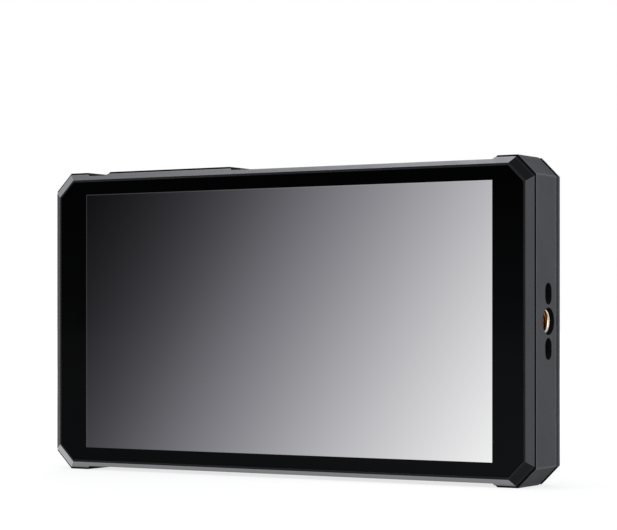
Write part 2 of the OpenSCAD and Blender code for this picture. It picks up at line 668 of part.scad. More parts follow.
module rail_outline(side) {
    inner = bay_w / 2;
    polygon([[side * inner, -plate_h / 2], [side * plate_w / 2, -plate_h / 2],
        [side * plate_w / 2, plate_h / 2 - 3], [side * (plate_w / 2 - 1), plate_h / 2],
        [side * inner, plate_h / 2]]);
}
module battery_plate() color([0.14, 0.14, 0.15]) difference() {
    union() {
        block([-plate_w / 2, plate_w / 2], plate_y, [-plate_h / 2, plate_h / 2]);
        for (s = [-1, 1]) {
            slab([plate_y[1] - gap, rail_y]) rail_outline(s);
            // Hooks that reach into the grooves of a battery
            for (z = [-24, 8])
                block([s > 0 ? bay_w / 2 - 2.2 : -bay_w / 2 - gap,
                       s > 0 ? bay_w / 2 + gap : -bay_w / 2 + 2.2],
                    [plate_y[1] + 1.9, rail_y - 0.6], [z, z + 8]);
        }
        block([-bay_w / 2 - gap, bay_w / 2 + gap], [plate_y[1] - gap, rail_y],
            [-plate_h / 2, -plate_h / 2 + 2]);
    }
    block([-latch_size[0] / 2 - 0.15, latch_size[0] / 2 + 0.15],
        [plate_y[0] - eps, plate_y[1] + eps],
        [latch_z - latch_size[1] / 2 - 0.15, latch_z + latch_size[1] / 2 + 0.15]);
    block([-4.5, 4.5], [plate_y[0] - eps, plate_y[1] + eps], [terminal_z - 2, terminal_z + 1]);
    for (x = [-plate_screw_x, plate_screw_x]) for (z = [-plate_screw_z, plate_screw_z]) {
        rod_y(x, z, 1.1, [plate_y[0] - eps, plate_y[1] + eps]);
        rod_y(x, z, 2.1, [plate_y[1] - 1.15, plate_y[1] + 3]);
    }
}

module battery_terminal() color([0.08, 0.08, 0.08]) {
    block([-9.5, 9.5], [plate_y[1], plate_y[1] + 3], [terminal_z - 4, terminal_z + 1]);
    for (x = [-9.5, -0.6, 8.3])
        block([x, x + 1.2], [plate_y[1], plate_y[1] + 3], [terminal_z + 1, terminal_z + 7]);
}
module battery_contacts() color([0.85, 0.68, 0.35]) for (x = [-5.1, 3.3])
    block([x, x + 1.8], [plate_y[1] + 1.1, plate_y[1] + 1.9], [terminal_z + 1, terminal_z + 6]);

// A lead from the terminal, through the back wall and down to the board
function lead_points(x) = [
    [x, plate_y[1], terminal_z - 0.5], [x, recess_inner - 1.5, terminal_z - 0.5],
    [x * 1.6, 1.8, terminal_z + 6], [x * 2.2, y_board_back + 1.2, terminal_z + 8],
    [x * 2.2, y_board_back, terminal_z + 8]
];
module lead(x) {
    p = lead_points(x);
    sides = 8;
    r = 0.55;
    rings = [for (i = [0:len(p) - 1]) let (
        a = p[max(i - 1, 0)],
        b = p[min(i + 1, len(p) - 1)],
        t = (b - a) / norm(b - a),
        v = cross(t, [1, 0, 0]) / norm(cross(t, [1, 0, 0])),
        u = cross(v, t)
    ) [for (k = [0:sides - 1]) p[i] + r * (u * cos(k * 360 / sides) + v * sin(k * 360 / sides))]];
    translate([0, 0, body_z]) polyhedron(
        [for (ring = rings) for (q = ring) q],
        concat([[for (k = [sides - 1:-1:0]) k]],
            [for (i = [0:len(p) - 2]) for (k = [0:sides - 1]) for (f = [0, 1])
                let (a = i * sides + k, b = i * sides + (k + 1) % sides)
                f == 0 ? [a, b, b + sides] : [a, b + sides, a + sides]],
            [[for (k = [0:sides - 1]) (len(p) - 1) * sides + k]]));
}
module battery_lead_positive() color([0.7, 0.1, 0.1]) lead(2.6);
module battery_lead_negative() color([0.1, 0.1, 0.1]) lead(-2.6);

module battery_latch() color([0.12, 0.12, 0.13]) {
    front = plate_y[1] + latch_proud;
    half = latch_size / 2;
    // The nose slopes on its lower side, so that a battery pushes it in
    bar_x([-half[0], half[0]]) polygon([
        [recess_y - gap, latch_z - half[1]], [plate_y[1] + 0.1, latch_z - half[1]],
        [front, latch_z - half[1] + 2.6], [front, latch_z + half[1]],
        [recess_y - gap, latch_z + half[1]]
    ]);
    block([-half[0] - 1.2, half[0] + 1.2], [recess_y - 1.05, recess_y - 0.05],
        [latch_z - half[1] - 1.2, latch_z + half[1] + 1.2]);
    rod_y(0, latch_z, 1.7, [recess_y - 3.2, recess_y - 1]);
}

// The latch's coil spring, wound from the well's floor to the latch's flange
spring_turns = 5;
spring_r = 2.5;
spring_wire = 0.24;
spring_steps = 8;
spring_y0 = well_floor + spring_wire;
spring_rise = recess_y - 1.05 - spring_wire - spring_y0;
function spring_point(i) = let (a = 360 * i / spring_steps)
    [spring_r * cos(a), spring_y0 + spring_rise * i / (spring_turns * spring_steps),
     spring_r * sin(a)];
module latch_spring() color([0.75, 0.75, 0.77]) {
    sides = 6;
    n = spring_turns * spring_steps;
    points = [for (i = [0:n]) for (k = [0:sides - 1]) let (
        p = spring_point(i),
        a = 360 * i / spring_steps,
        b = 360 * k / sides
    ) p + spring_wire * [cos(a) * cos(b), sin(b), sin(a) * cos(b)]];
    faces = concat([[for (k = [0:sides - 1]) k]],
        [for (i = [0:n - 1]) for (k = [0:sides - 1]) for (f = [0, 1])
            let (a = i * sides + k, b = i * sides + (k + 1) % sides)
            f == 0 ? [b, a, a + sides] : [b, a + sides, b + sides]],
        [[for (k = [sides - 1:-1:0]) n * sides + k]]);
    translate([0, 0, body_z + latch_z]) polyhedron(points, faces);
    gaps = [for (i = [0:n]) for (k = [i + spring_steps / 2:n])
        norm(spring_point(i) - spring_point(k)) - 2 * spring_wire];
    echo(least_gap_between_curls = min(gaps));
}

module battery_plate_screws() color([0.12, 0.12, 0.12])
    for (x = [-plate_screw_x, plate_screw_x]) for (z = [-plate_screw_z, plate_screw_z])
        screw(x, z, plate_y[1] - 0.05, 3.6, 1.1);

// ---- Nodes ----

front_frame();
cover_glass();
glass_adhesive();
touch_sensor();
lcd_cell();
backlight();
backlight_leds();
panel_tray();
chassis_plate();
display_flex();
touch_flex();
flex_connectors();
main_board();
video_processor();
thermal_pad();
heat_sink();
board_components();
board_screws();
chassis_screws();
video_in_shell();
video_in_tongue();
video_out_shell();
video_out_tongue();
data_port_shell();
data_port_tongue();
headphone_jack();
dc_in_jack();
dc_in_pin();
dc_out_jack();
dc_out_pin();
card_socket_cover();
card_socket_base();
middle_frame();
rear_cover();
side_thread_insert();
bottom_thread_insert();
cover_screws();
key_board();
key_board_screws();
power_switch();
f1_switch();
f2_switch();
power_key();
power_plunger();
f1_key();
f1_plunger();
f2_key();
f2_plunger();
status_light_pipe();
status_led();
key_cable();
battery_plate();
battery_terminal();
battery_contacts();
battery_lead_positive();
battery_lead_negative();
battery_latch();
latch_spring();
battery_plate_screws();
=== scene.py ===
# %% [markdown]
# # A field monitor, dressed for a studio picture
#
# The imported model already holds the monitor's shapes: casing, glass, display,
# boards, sockets, keys and battery plate. Here every part gets the finish of the
# real one, sharp moulded edges get their small radius, and the parts that a plain
# solid can't tell, such as the threads in the brass, are built anew.
#
# The model is loaded once, as a fixed frame. +X is the viewer's right, +Y points
# away from the viewer, and +Z is up. The frame is in metres; lengths written here
# are in millimetres, unless a comment says metres, and MM turns one into the other.

# %% Load the frame
import json
from math import cos, floor, pi, radians, sin

import bmesh
import bpy
from mathutils import Matrix, Vector


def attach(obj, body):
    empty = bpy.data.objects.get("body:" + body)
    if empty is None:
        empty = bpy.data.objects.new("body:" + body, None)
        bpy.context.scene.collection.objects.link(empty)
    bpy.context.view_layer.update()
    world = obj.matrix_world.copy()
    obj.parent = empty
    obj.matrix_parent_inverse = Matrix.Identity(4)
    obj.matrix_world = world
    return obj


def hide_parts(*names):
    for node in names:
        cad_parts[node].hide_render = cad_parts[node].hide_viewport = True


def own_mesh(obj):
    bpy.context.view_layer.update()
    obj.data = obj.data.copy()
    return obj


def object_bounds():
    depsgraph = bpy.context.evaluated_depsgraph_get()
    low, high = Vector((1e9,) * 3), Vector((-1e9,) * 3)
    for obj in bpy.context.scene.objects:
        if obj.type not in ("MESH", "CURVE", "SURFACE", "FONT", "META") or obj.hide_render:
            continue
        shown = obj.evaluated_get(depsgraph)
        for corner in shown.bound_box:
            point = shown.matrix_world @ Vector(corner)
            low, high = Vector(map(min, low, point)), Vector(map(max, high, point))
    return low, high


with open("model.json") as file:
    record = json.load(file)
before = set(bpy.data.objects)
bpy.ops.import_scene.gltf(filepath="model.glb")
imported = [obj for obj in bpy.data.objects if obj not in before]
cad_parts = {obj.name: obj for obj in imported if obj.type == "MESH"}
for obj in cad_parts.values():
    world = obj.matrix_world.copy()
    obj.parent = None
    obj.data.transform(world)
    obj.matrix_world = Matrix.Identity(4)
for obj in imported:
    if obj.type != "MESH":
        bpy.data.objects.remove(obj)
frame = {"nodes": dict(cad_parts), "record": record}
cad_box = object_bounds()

MM = 0.001
nodes = frame["nodes"]


# %% [markdown]
# ## Camera
#
# The picture was taken level with the monitor's middle, from the front right, with
# a long lens. A shifted lens keeps the upright edges upright: the camera looks
# straight ahead, and the frame is moved up and sideways over what it sees. The
# focal length and the shift are worked out from the picture's own width in pixels.

# %% Camera
PICTURE_SIZE = (617, 530)
FOCAL_PIXELS = 2167.53
CENTRE_PIXEL = (295.99, 318.89)
SENSOR_WIDTH = 36.0   # mm
CAMERA_PLACE = (318.0 * MM, -523.9 * MM, 42.33 * MM)
CAMERA_TURN = radians(31.233)

camera_data = bpy.data.cameras.new("camera")
camera_data.sensor_width = SENSOR_WIDTH
camera_data.lens = FOCAL_PIXELS * SENSOR_WIDTH / PICTURE_SIZE[0]
camera_data.shift_x = (PICTURE_SIZE[0] / 2 - CENTRE_PIXEL[0]) / PICTURE_SIZE[0]
camera_data.shift_y = (CENTRE_PIXEL[1] - PICTURE_SIZE[1] / 2) / PICTURE_SIZE[0]
camera_data.clip_start = 10 * MM
camera = bpy.data.objects.new("camera", camera_data)
camera.location = CAMERA_PLACE
camera.rotation_euler = (pi / 2, 0, CAMERA_TURN)
bpy.context.collection.objects.link(camera)
bpy.context.scene.camera = camera
bpy.context.scene.view_settings.view_transform = "Standard"
print("lens", round(camera_data.lens, 1), "mm")


# %% [markdown]
# ## Floor and surroundings
#
# The picture has no horizon: floor and background run into one white. A real floor
# lit until it is white would flood the object too, so this one adds light of its
# own, only for rays from the camera, from a reflection or through something clear.
# For all others it is plain grey paper. The added light is lower near the monitor,
# so that its soft shadow stays, and grows until floor and background meet. The room
# above is white to the camera, and half as bright to everything else, so that
# polished faces show where the lamps stand.

# %% Floor and surroundings
FLOOR_HALF = 6.0                       # metres
FLOOR_GAP = 0.02 * MM                  # the feet and the paper never share a plane
FLOOR_PAPER = (0.45, 0.45, 0.45, 1)
FLOOR_PAPER_SEEN = (0.36, 0.36, 0.36, 1)
FLOOR_LIGHT = (0.12, 0.90, 0.76, 1.0)  # two distances in metres, and the light at each
SKY_COLOR = (0.96, 0.98, 1, 1)
SKY_FILL = 0.46


def apply_settings(thing, settings):
    for key, value in settings.items():
        setattr(thing, key, value)
    return thing


def feed(tree, value, socket):
    """Links an output to a socket, or sets the socket to a plain value."""
    if isinstance(value, bpy.types.NodeSocket):
        tree.links.new(value, socket)
    else:
        socket.default_value = value


def add_node(tree, kind, inputs=(), **settings):
    """A new node; inputs says what goes in, by name or number."""
    node = apply_settings(tree.nodes.new(kind), settings)
    for key, value in dict(inputs).items():
        feed(tree, value, node.inputs[key])
    return node


def map_range(tree, value, *limits, **settings):
    """Carries the range between the first two limits over to the last two."""
    inputs = enumerate((value, *limits))
    return add_node(tree, "ShaderNodeMapRange", inputs, **settings).outputs["Result"]


def any_ray(tree, *kinds):
    """1 for rays of these kinds."""
    rays = tree.nodes.new("ShaderNodeLightPath")
    total = rays.outputs[kinds[0]]
    for kind in kinds[1:]:
        pair = {0: total, 1: rays.outputs[kind]}
        total = add_node(tree, "ShaderNodeMath", pair, operation="MAXIMUM").outputs[0]
    return total


def choose(tree, share, when_0, when_1):
    """Mixes two shaders and returns the output."""
    inputs = {0: share, 1: when_0.outputs[0], 2: when_1.outputs[0]}
    return add_node(tree, "ShaderNodeMixShader", inputs).outputs[0]


def empty_tree(owner):
    owner.use_nodes = True
    owner.node_tree.nodes.clear()
    return owner.node_tree


def set_up_world():
    world = bpy.data.worlds.new("studio")
    tree = empty_tree(world)
    white = add_node(tree, "ShaderNodeBackground", {"Color": (1, 1, 1, 1), "Strength": 1.0})
    fill = add_node(tree, "ShaderNodeBackground", {"Color": SKY_COLOR, "Strength": SKY_FILL})
    seen = any_ray(tree, "Is Camera Ray", "Is Transmission Ray")
    add_node(tree, "ShaderNodeOutputWorld", {"Surface": choose(tree, seen, fill, white)})
    bpy.context.scene.world = world


def floor_paper():
    paper = bpy.data.materials.new("floor_paper")
    tree = empty_tree(paper)
    place = add_node(tree, "ShaderNodeTexCoord").outputs["Object"]
    reach = add_node(tree, "ShaderNodeVectorMath", {0: place}, operation="LENGTH")
    light = map_range(tree, reach.outputs["Value"], *FLOOR_LIGHT, interpolation_type="SMOOTHSTEP")
    plain = add_node(tree, "ShaderNodeBsdfDiffuse", {"Color": FLOOR_PAPER})
    seen = add_node(tree, "ShaderNodeBsdfDiffuse", {"Color": FLOOR_PAPER_SEEN})
    lift = add_node(tree, "ShaderNodeEmission", {"Strength": light})
    lifted = add_node(tree, "ShaderNodeAddShader", {0: seen.outputs[0], 1: lift.outputs[0]})
    shown = any_ray(tree, "Is Camera Ray", "Is Glossy Ray", "Is Transmission Ray")
    mixed = choose(tree, shown, plain, lifted)
    add_node(tree, "ShaderNodeOutputMaterial", {"Surface": mixed})
    return paper


def lay_floor(height):
    mesh = bpy.data.meshes.new("floor")
    h = FLOOR_HALF
    mesh.from_pydata([(-h, -h, 0), (h, -h, 0), (h, h, 0), (-h, h, 0)], [], [(0, 1, 2, 3)])
    mesh.materials.append(floor_paper())
    floor_sheet = bpy.data.objects.new("floor", mesh)
    floor_sheet.location.z = height
    bpy.context.collection.objects.link(floor_sheet)


set_up_world()
lay_floor(cad_box[0].z - FLOOR_GAP)
print("floor at", round((cad_box[0].z - FLOOR_GAP) / MM, 2), "mm")


# %% [markdown]
# ## Lamps
#
# Four softboxes. The key hangs over the middle, where the bevel along the top edge
# mirrors it. The side lamp lights the side with the tripod thread. A weak one stands
# at the left, for the bevel of the upper left corner, and one behind, for the back.
# The power of each follows from its size, so that it keeps its brightness when the
# size is changed.

# %% Lamps
SOFTBOXES = {
    # name: (direction it stands in, distance, width, height, brightness)
    "key": ((-0.22, -0.14, 0.96), 1.25, 0.70, 0.70, 1.85),
    "side": ((0.94, -0.31, 0.14), 1.30, 0.9, 1.2, 2.75),
    "left": ((-0.92, -0.03, 0.38), 1.40, 0.6, 0.6, 0.25),
    "behind": ((-0.45, 0.80, 0.42), 1.40, 0.8, 0.8, 2.4),
}
BODY_CENTRE = (cad_box[0] + cad_box[1]) / 2


def hang_softbox(name, direction, distance, width, height, brightness):
    lamp = bpy.data.lights.new(name, "AREA")
    lamp.shape = "RECTANGLE"
    lamp.size = width
    lamp.size_y = height
    lamp.energy = brightness * pi * width * height
    box = bpy.data.objects.new(name + "_softbox", lamp)
    towards = Vector(direction).normalized()
    box.location = BODY_CENTRE + towards * distance
    box.rotation_euler = towards.to_track_quat("Z", "Y").to_euler()
    bpy.context.collection.objects.link(box)


for name, settings in SOFTBOXES.items():
    hang_softbox(name, *settings)
print("softboxes:", ", ".join(SOFTBOXES))


# %% [markdown]
# ## How the finishes are made
#
# Every finish is one principled shader with layers laid over it, in the object's
# own coordinates in millimetres, so that a grain keeps its real size: slow patches that shift the
# colour and the roughness a little, fine grain that lifts the surface, painted shade
# that darkens recesses, and edges that are a touch paler and smoother, partly wear
# where hands polish them and partly a painted highlight. The edge is found with a
# bevel node, which compares the surface with a rounded copy of it. Printed marks and
# rows of conductors are worked out from the place on the part, with plain arithmetic.

# %% A finish and its layers
class Finish:
    """A material under construction; colour, roughness and bump grow by layers.

    All lengths are in mm. With patch it is aged: slow patches of that size in colour
    and roughness, as on any surface that is handled."""

    def __init__(self, name, color, roughness, metallic=0.0, gloss=0.5,
                 patch=None, shift=0.10, uneven=0.08):
        self.name = name
        self.color = color
        self.material = bpy.data.materials.new(name)
        self.material.use_nodes = True
        self.tree = self.material.node_tree
        self.shader = self.tree.nodes["Principled BSDF"]
        self.drive("Metallic", metallic)
        self.drive("Specular IOR Level", gloss)
        self.drive("Base Color", (*color, 1))
        self.drive("Roughness", roughness)
        self.splits = {}
        self.normal = self.add("ShaderNodeNewGeometry").outputs["True Normal"]
        self.place = self.stretched(self.add("ShaderNodeTexCoord").outputs["Object"], [MM] * 3)
        if patch:
            patches = self.noise(patch)
            self.tint(self.spread(patches, 0.35, 0.65), scaled(color, 1 + shift))
            smears = self.noise(patch * 0.35, 5.0)
            self.roughen(self.spread(smears, 0.3, 0.7, -0.5, 0.5), uneven)

    def drive(self, name, value):
        """Links or sets an input of the shader."""
        feed(self.tree, value, self.shader.inputs[name])

    def so_far(self, name):
        """What goes into an input of the shader by now."""
        socket = self.shader.inputs[name]
        return socket.links[0].from_socket if socket.is_linked else socket.default_value

    def add(self, kind, inputs=(), **settings):
        return add_node(self.tree, kind, inputs, **settings)

    def math(self, operation, *values):
        return self.add("ShaderNodeMath", enumerate(values), operation=operation).outputs[0]

    def below(self, value, limit):
        return self.math("LESS_THAN", value, limit)

    def above(self, value, limit):
        return self.math("GREATER_THAN", value, limit)

    def size(self, value):
        return self.math("ABSOLUTE", value)

    def inverse(self, share):
        return self.math("SUBTRACT", 1.0, share)

    def spread(self, value, low_in, high_in, low_out=0, high_out=1):
        return map_range(self.tree, value, low_in, high_in, low_out, high_out)

    def split(self, vector, axis):
        """The X, Y or Z of a vector, which is taken apart only once."""
        if vector not in self.splits:
            self.splits[vector] = self.add("ShaderNodeSeparateXYZ", {0: vector}).outputs
        return self.splits[vector][axis]

    def along(self, axis):
        """The X, Y or Z of a point on the part."""
        return self.split(self.place, axis)

    def facing(self, axis):
        """How far the surface faces along X, Y or Z, from -1 to 1."""
        return self.split(self.normal, axis)

    def join(self, operation, values):
        total = values[0]
        for value in values[1:]:
            total = self.math(operation, total, value)
        return total

    def all_of(self, *shares):
        return self.join("MULTIPLY", shares)

    def any_of(self, *shares):
        return self.join("MAXIMUM", shares)

    def near(self, value, middle, half):
        """1 where the value is within half of the middle."""
        return self.below(self.size(self.math("SUBTRACT", value, middle)), half)

    def stripes(self, value, pitch, share):
        """1 on stripes that repeat with the value, 0 between them."""
        return self.below(self.math("FRACT", self.math("DIVIDE", value, pitch)), share)

    def bars(self, axis, pitch, share):
        return self.stripes(self.along(axis), pitch, share)

    def distance_to(self, axes, place):
        """How far a point is from a place, in the plane of two axes."""
        squares = [
            self.math("POWER", self.math("SUBTRACT", self.along(axis), middle), 2)
            for axis, middle in zip(axes, place)
        ]
        return self.math("SQRT", self.math("ADD", *squares))

    def stretched(self, vector, lengths):
        """A vector in units of these lengths."""
        inputs = {"Vector": vector, "Scale": [1 / length for length in lengths]}
        return self.add("ShaderNodeMapping", inputs).outputs["Vector"]

    def noise(self, size, detail=3.0, place=None):
        """Noise whose features are about this long."""
        inputs = {"Vector": place or self.place, "Scale": 1 / size, "Detail": detail}
        return self.add("ShaderNodeTexNoise", inputs).outputs["Fac"]

    def streaks(self, *lengths):
        """Noise whose features have these lengths along x, y and z."""
        return self.noise(1.0, 2.0, self.stretched(self.place, lengths))

    def cells(self, size, output="Distance", randomness=1.0):
        """Cells of about this size."""
        inputs = {"Vector": self.place, "Scale": 1 / size, "Randomness": randomness}
        return self.add("ShaderNodeTexVoronoi", inputs).outputs[output]

    def edges(self, width, full=0.90, none=0.995):
        """1 on sharp edges, 0 elsewhere; full and none are cosines of the turn."""
        bevel = self.add("ShaderNodeBevel", {"Radius": width * MM}, samples=4)
        normal = self.add("ShaderNodeNewGeometry").outputs["Normal"]
        pair = {0: bevel.outputs["Normal"], 1: normal}
        cosine = self.add("ShaderNodeVectorMath", pair, operation="DOT_PRODUCT")
        return self.spread(cosine.outputs["Value"], none, full)

    def recesses(self, reach, own=False):
        """1 deep in slots and grooves, 0 on open faces; own leaves out other parts."""
        inputs = {"Distance": reach * MM}
        node = self.add("ShaderNodeAmbientOcclusion", inputs, samples=8, only_local=own)
        return self.spread(node.outputs["AO"], 0.25, 0.80, 1.0, 0.0)

    def tint(self, share, color, blend="MIX"):
        """Lays a colour over what is there, by share."""
        inputs = {"Factor": share, "A": self.so_far("Base Color"), "B": (*color, 1)}
        mix = self.add("ShaderNodeMix", inputs, data_type="RGBA", blend_type=blend)
        self.drive("Base Color", mix.outputs["Result"])

    def shade(self, share, left):
        """Leaves this much of the colour's brightness, by share."""
        self.tint(share, (left, left, left), "MULTIPLY")

    def roughen(self, share, amount):
        """Adds amount times share to the roughness."""
        self.drive("Roughness", self.math("MULTIPLY_ADD", share, amount, self.so_far("Roughness")))

    def raise_by(self, height, distance):
        """Bumps the surface by height (0 to 1) times distance."""
        inputs = {"Distance": distance * MM, "Height": height, "Normal": self.so_far("Normal")}
        self.drive("Normal", self.add("ShaderNodeBump", inputs).outputs["Normal"])


def scaled(color, factor):
    return tuple(min(1.0, c * factor) for c in color)


def grain(finish, size, height, rough=0.04, pits=0.94):
    """Fine moulded or blasted grain, a little darker in its pits."""
    grains = finish.noise(size, 2.0)
    finish.shade(finish.spread(grains, 0.40, 0.60, 1, 0), pits)
    finish.raise_by(grains, height)
    finish.roughen(grains, rough)


def wear_and_highlight_edges(finish, width, lift):
    """Paler, smoother edges: partly wear, partly a painted highlight."""
    edge = finish.edges(width)
    finish.tint(edge, scaled(finish.color, lift))
    finish.roughen(edge, -0.08)


def paint_recess_shade(finish, reach, left, own=False):
    """Painted shade: nearly black slots and grooves."""
    finish.tint(finish.recesses(reach, own), scaled(finish.color, left))


print("finishes are built from noise, grain, recess and edge layers")


# %% [markdown]
# ## Casing plastic
#
# The middle frame and the rear cover are moulded in grey plastic and textured in the
# mould. In the picture the flat side is an even mid grey, with a paler line along
# each crease and nearly black slots; here the pale lines are a painted highlight,
# and the slots, grooves and cut corners are darkened with painted shade. The texture
# is a grain of about a third of a millimetre: it only breaks up the reflections, and
# close up it reads as plastic.

# %% Casing plastic
RING_GREY = (0.0840, 0.0853, 0.0935)
COVER_GREY = (0.0870, 0.0883, 0.0968)
SEAM_PAINTED_SHADE = (6.0, 8.2)      # y where the painted shade by the seam is full and where it ends
RAMPS_REACH = 70
WALL_INSIDE = 76.3
THREAD_SIDE = (41.7, 13.5)   # middle and half length of the thread and its slots, along z
THREAD_DEPTH = (0, 4.3)      # the same along y
SHALLOW = (0.95, 0.998)      # cosines that take in the shallow folds too


def casing_plastic(name, color):
    finish = Finish(name, color, 0.58, gloss=0.07, patch=18, shift=0.07)
    grain(finish, 0.32, 0.070, 0.10, pits=0.88)
    return finish


def paint_crease_highlights(finish, width, lift, where=1.0):
    """A painted highlight: a pale line along every fold, also the shallow ones."""
    crease = finish.all_of(finish.edges(width, *SHALLOW), where)
    finish.tint(crease, scaled(finish.color, lift))
    finish.roughen(crease, -0.12)


def ring_plastic():
    finish = casing_plastic("casing_plastic", RING_GREY)
    sideways = finish.size(finish.facing("X"))
    far_out = finish.above(finish.size(finish.along("X")), WALL_INSIDE)
    # no painted crease highlight on the thread's opening and its slots, whose edges stay sharp
    beside = finish.near(finish.along("Z"), *THREAD_SIDE)
    beside = finish.all_of(beside, finish.near(finish.along("Y"), *THREAD_DEPTH), far_out)
    # painted shade: the cut corners are darkened against the flat sides, the lower ones most
    slanted = finish.all_of(sideways, finish.size(finish.facing("Z")))
    corner = finish.above(slanted, 0.3)
    finish.shade(corner, 0.90)
    finish.shade(finish.all_of(corner, finish.below(finish.facing("Z"), 0)), 0.86)
    # painted highlight along the folds
    paint_crease_highlights(finish, 0.9, 2.0, finish.inverse(beside))
    # painted shade in the slots and grooves
    paint_recess_shade(finish, 5, 0.05, own=True)
    # painted shade on the front edge, in the groove behind the front frame
    groove = finish.below(finish.facing("Y"), -0.9)
    # painted shade on the short ramps beside the raised stretches
    ramp = finish.all_of(corner, finish.near(finish.along("X"), 0, RAMPS_REACH))
    # painted shade on the walls of the openings in the two sides
    opening = finish.all_of(far_out, finish.below(sideways, 0.3))
    # all three are painted near black as shade, and made rougher
    painted_shade = finish.any_of(groove, ramp, opening)
    finish.tint(painted_shade, scaled(RING_GREY, 0.10))
    finish.roughen(painted_shade, 0.35)
    return finish


def cover_plastic():
    finish = casing_plastic("cover_plastic", COVER_GREY)
    # painted highlight along the folds
    paint_crease_highlights(finish, 0.6, 1.5)
    # painted shade: it darkens towards the seam, where the edge dips behind the ring
    finish.tint(finish.spread(finish.along("Y"), *SEAM_PAINTED_SHADE, 1, 0), scaled(COVER_GREY, 0.08))
    # painted shade in the slots and grooves
    paint_recess_shade(finish, 5, 0.05, own=True)
    return finish


# %% [markdown]
# ## Front frame
#
# The frame round the glass is a separate moulding with a finer texture. In the
# picture its facets differ a lot. The long bevels above and below get a pale metal
# colour, a painted sheen for the light they catch, and the bevels at the sides are
# as grey as the casing. The four corner bevels are painted black, a painted dark
# reflection: the two on the right are seen from the front and look black, the two
# on the left are seen at a low angle and turn pale and metallic, so that they mirror
# their surroundings, a real reflection made stronger by painted colour. The creases
# get a painted highlight, and the lip round the glass painted shade. A facet is
# found by the way it faces: up or down and forwards, or to the side as well. The
# corners' gloss follows the angle of sight.

# %% Front frame
LIP_FACING = -0.95
LIP_PAINTED_SHADE = (0.019, 0.019, 0.020)
CREASE_PAINTED_HIGHLIGHT = (0.090, 0.091, 0.098)
BEVEL_PAINTED_SHEEN = (0.238, 0.239, 0.250)
CORNER_PAINTED_DARK = (0.0088, 0.0090, 0.0104)
CORNER_PAINTED_SHEEN = (0.37, 0.37, 0.38)


def frame_plastic():
    finish = Finish("frame_plastic", (0.092, 0.0932, 0.1012), 0.38, gloss=0.12, patch=15, shift=0.06)
    grain(finish, 0.22, 0.0022, 0.05, pits=0.90)
    sideways = finish.size(finish.facing("X"))
    bevelled = finish.near(finish.facing("Y"), -0.72, 0.22)
    pale = finish.all_of(bevelled, finish.below(sideways, 0.1))
    slanted = finish.all_of(sideways, finish.size(finish.facing("Z")))
    corner_facets = finish.all_of(bevelled, finish.above(slanted, 0.06))
    low_angle = finish.spread(finish.add("ShaderNodeLayerWeight").outputs["Facing"], 0.25, 0.50)
    mirroring = finish.all_of(corner_facets, low_angle)
    # painted shade on the lip that faces straight forward, round the glass
    finish.tint(finish.below(finish.facing("Y"), LIP_FACING), LIP_PAINTED_SHADE)
    # the corner bevels painted near black, a painted dark reflection
    finish.tint(corner_facets, CORNER_PAINTED_DARK)
    crease = finish.edges(0.4, *SHALLOW)
    # painted highlight along the creases, fainter on the black corners
    finish.tint(finish.all_of(crease, finish.spread(corner_facets, 0, 1, 0.6, 0.15)), CREASE_PAINTED_HIGHLIGHT)
    # painted sheen on the long bevels above and below, in pale metal, with a painted highlight on
    # their creases
    finish.tint(pale, BEVEL_PAINTED_SHEEN)
    finish.tint(finish.all_of(pale, crease), scaled(BEVEL_PAINTED_SHEEN, 1.25))
    # at a low angle the corners turn pale and metallic: a real reflection of the surroundings made
    # stronger by painted colour, with a painted highlight on their creases
    finish.tint(mirroring, CORNER_PAINTED_SHEEN)
    finish.tint(finish.all_of(mirroring, crease), scaled(CORNER_PAINTED_SHEEN, 1.3))
    finish.roughen(corner_facets, -0.18)
    finish.drive("Metallic", finish.any_of(pale, mirroring))
    # painted shade in the grooves round the frame
    paint_recess_shade(finish, 1.2, 0.08)
    return finish


# %% [markdown]
# ## Cover glass with a picture behind it
#
# The glass is black behind its border, where it is printed on the inside, and it
# has a coating that takes most of the reflection away. The display is switched on
# and shows a plain grey ramp, dark at the upper left and nearly white at the lower
# right. The ramp is worked out from the place on the glass: one share from left to
# right, a smaller share from top to bottom, and a curve that turns the sum into a
# brightness. The display shines, so the ramp is emission and not paint.

# %% Cover glass and picture
PICTURE_MIDDLE = (0.25, 41.7)
PICTURE_WIDTH = 132.6
PICTURE_HEIGHT = 74.35
RAMP_ACROSS = 0.73
RAMP_DOWN = 0.27
RAMP_CURVE = ((0.0, 0.086), (0.2, 0.205), (0.5, 0.488), (0.8, 0.768), (1.0, 0.930))
RAMP_COOL = (1.0, 0.97, 1.16, 1)
RIM_HIGHLIGHT = 0.22
PRINT_PAINTED_REFLECTION = (0.0086, 0.0093, 0.0105)


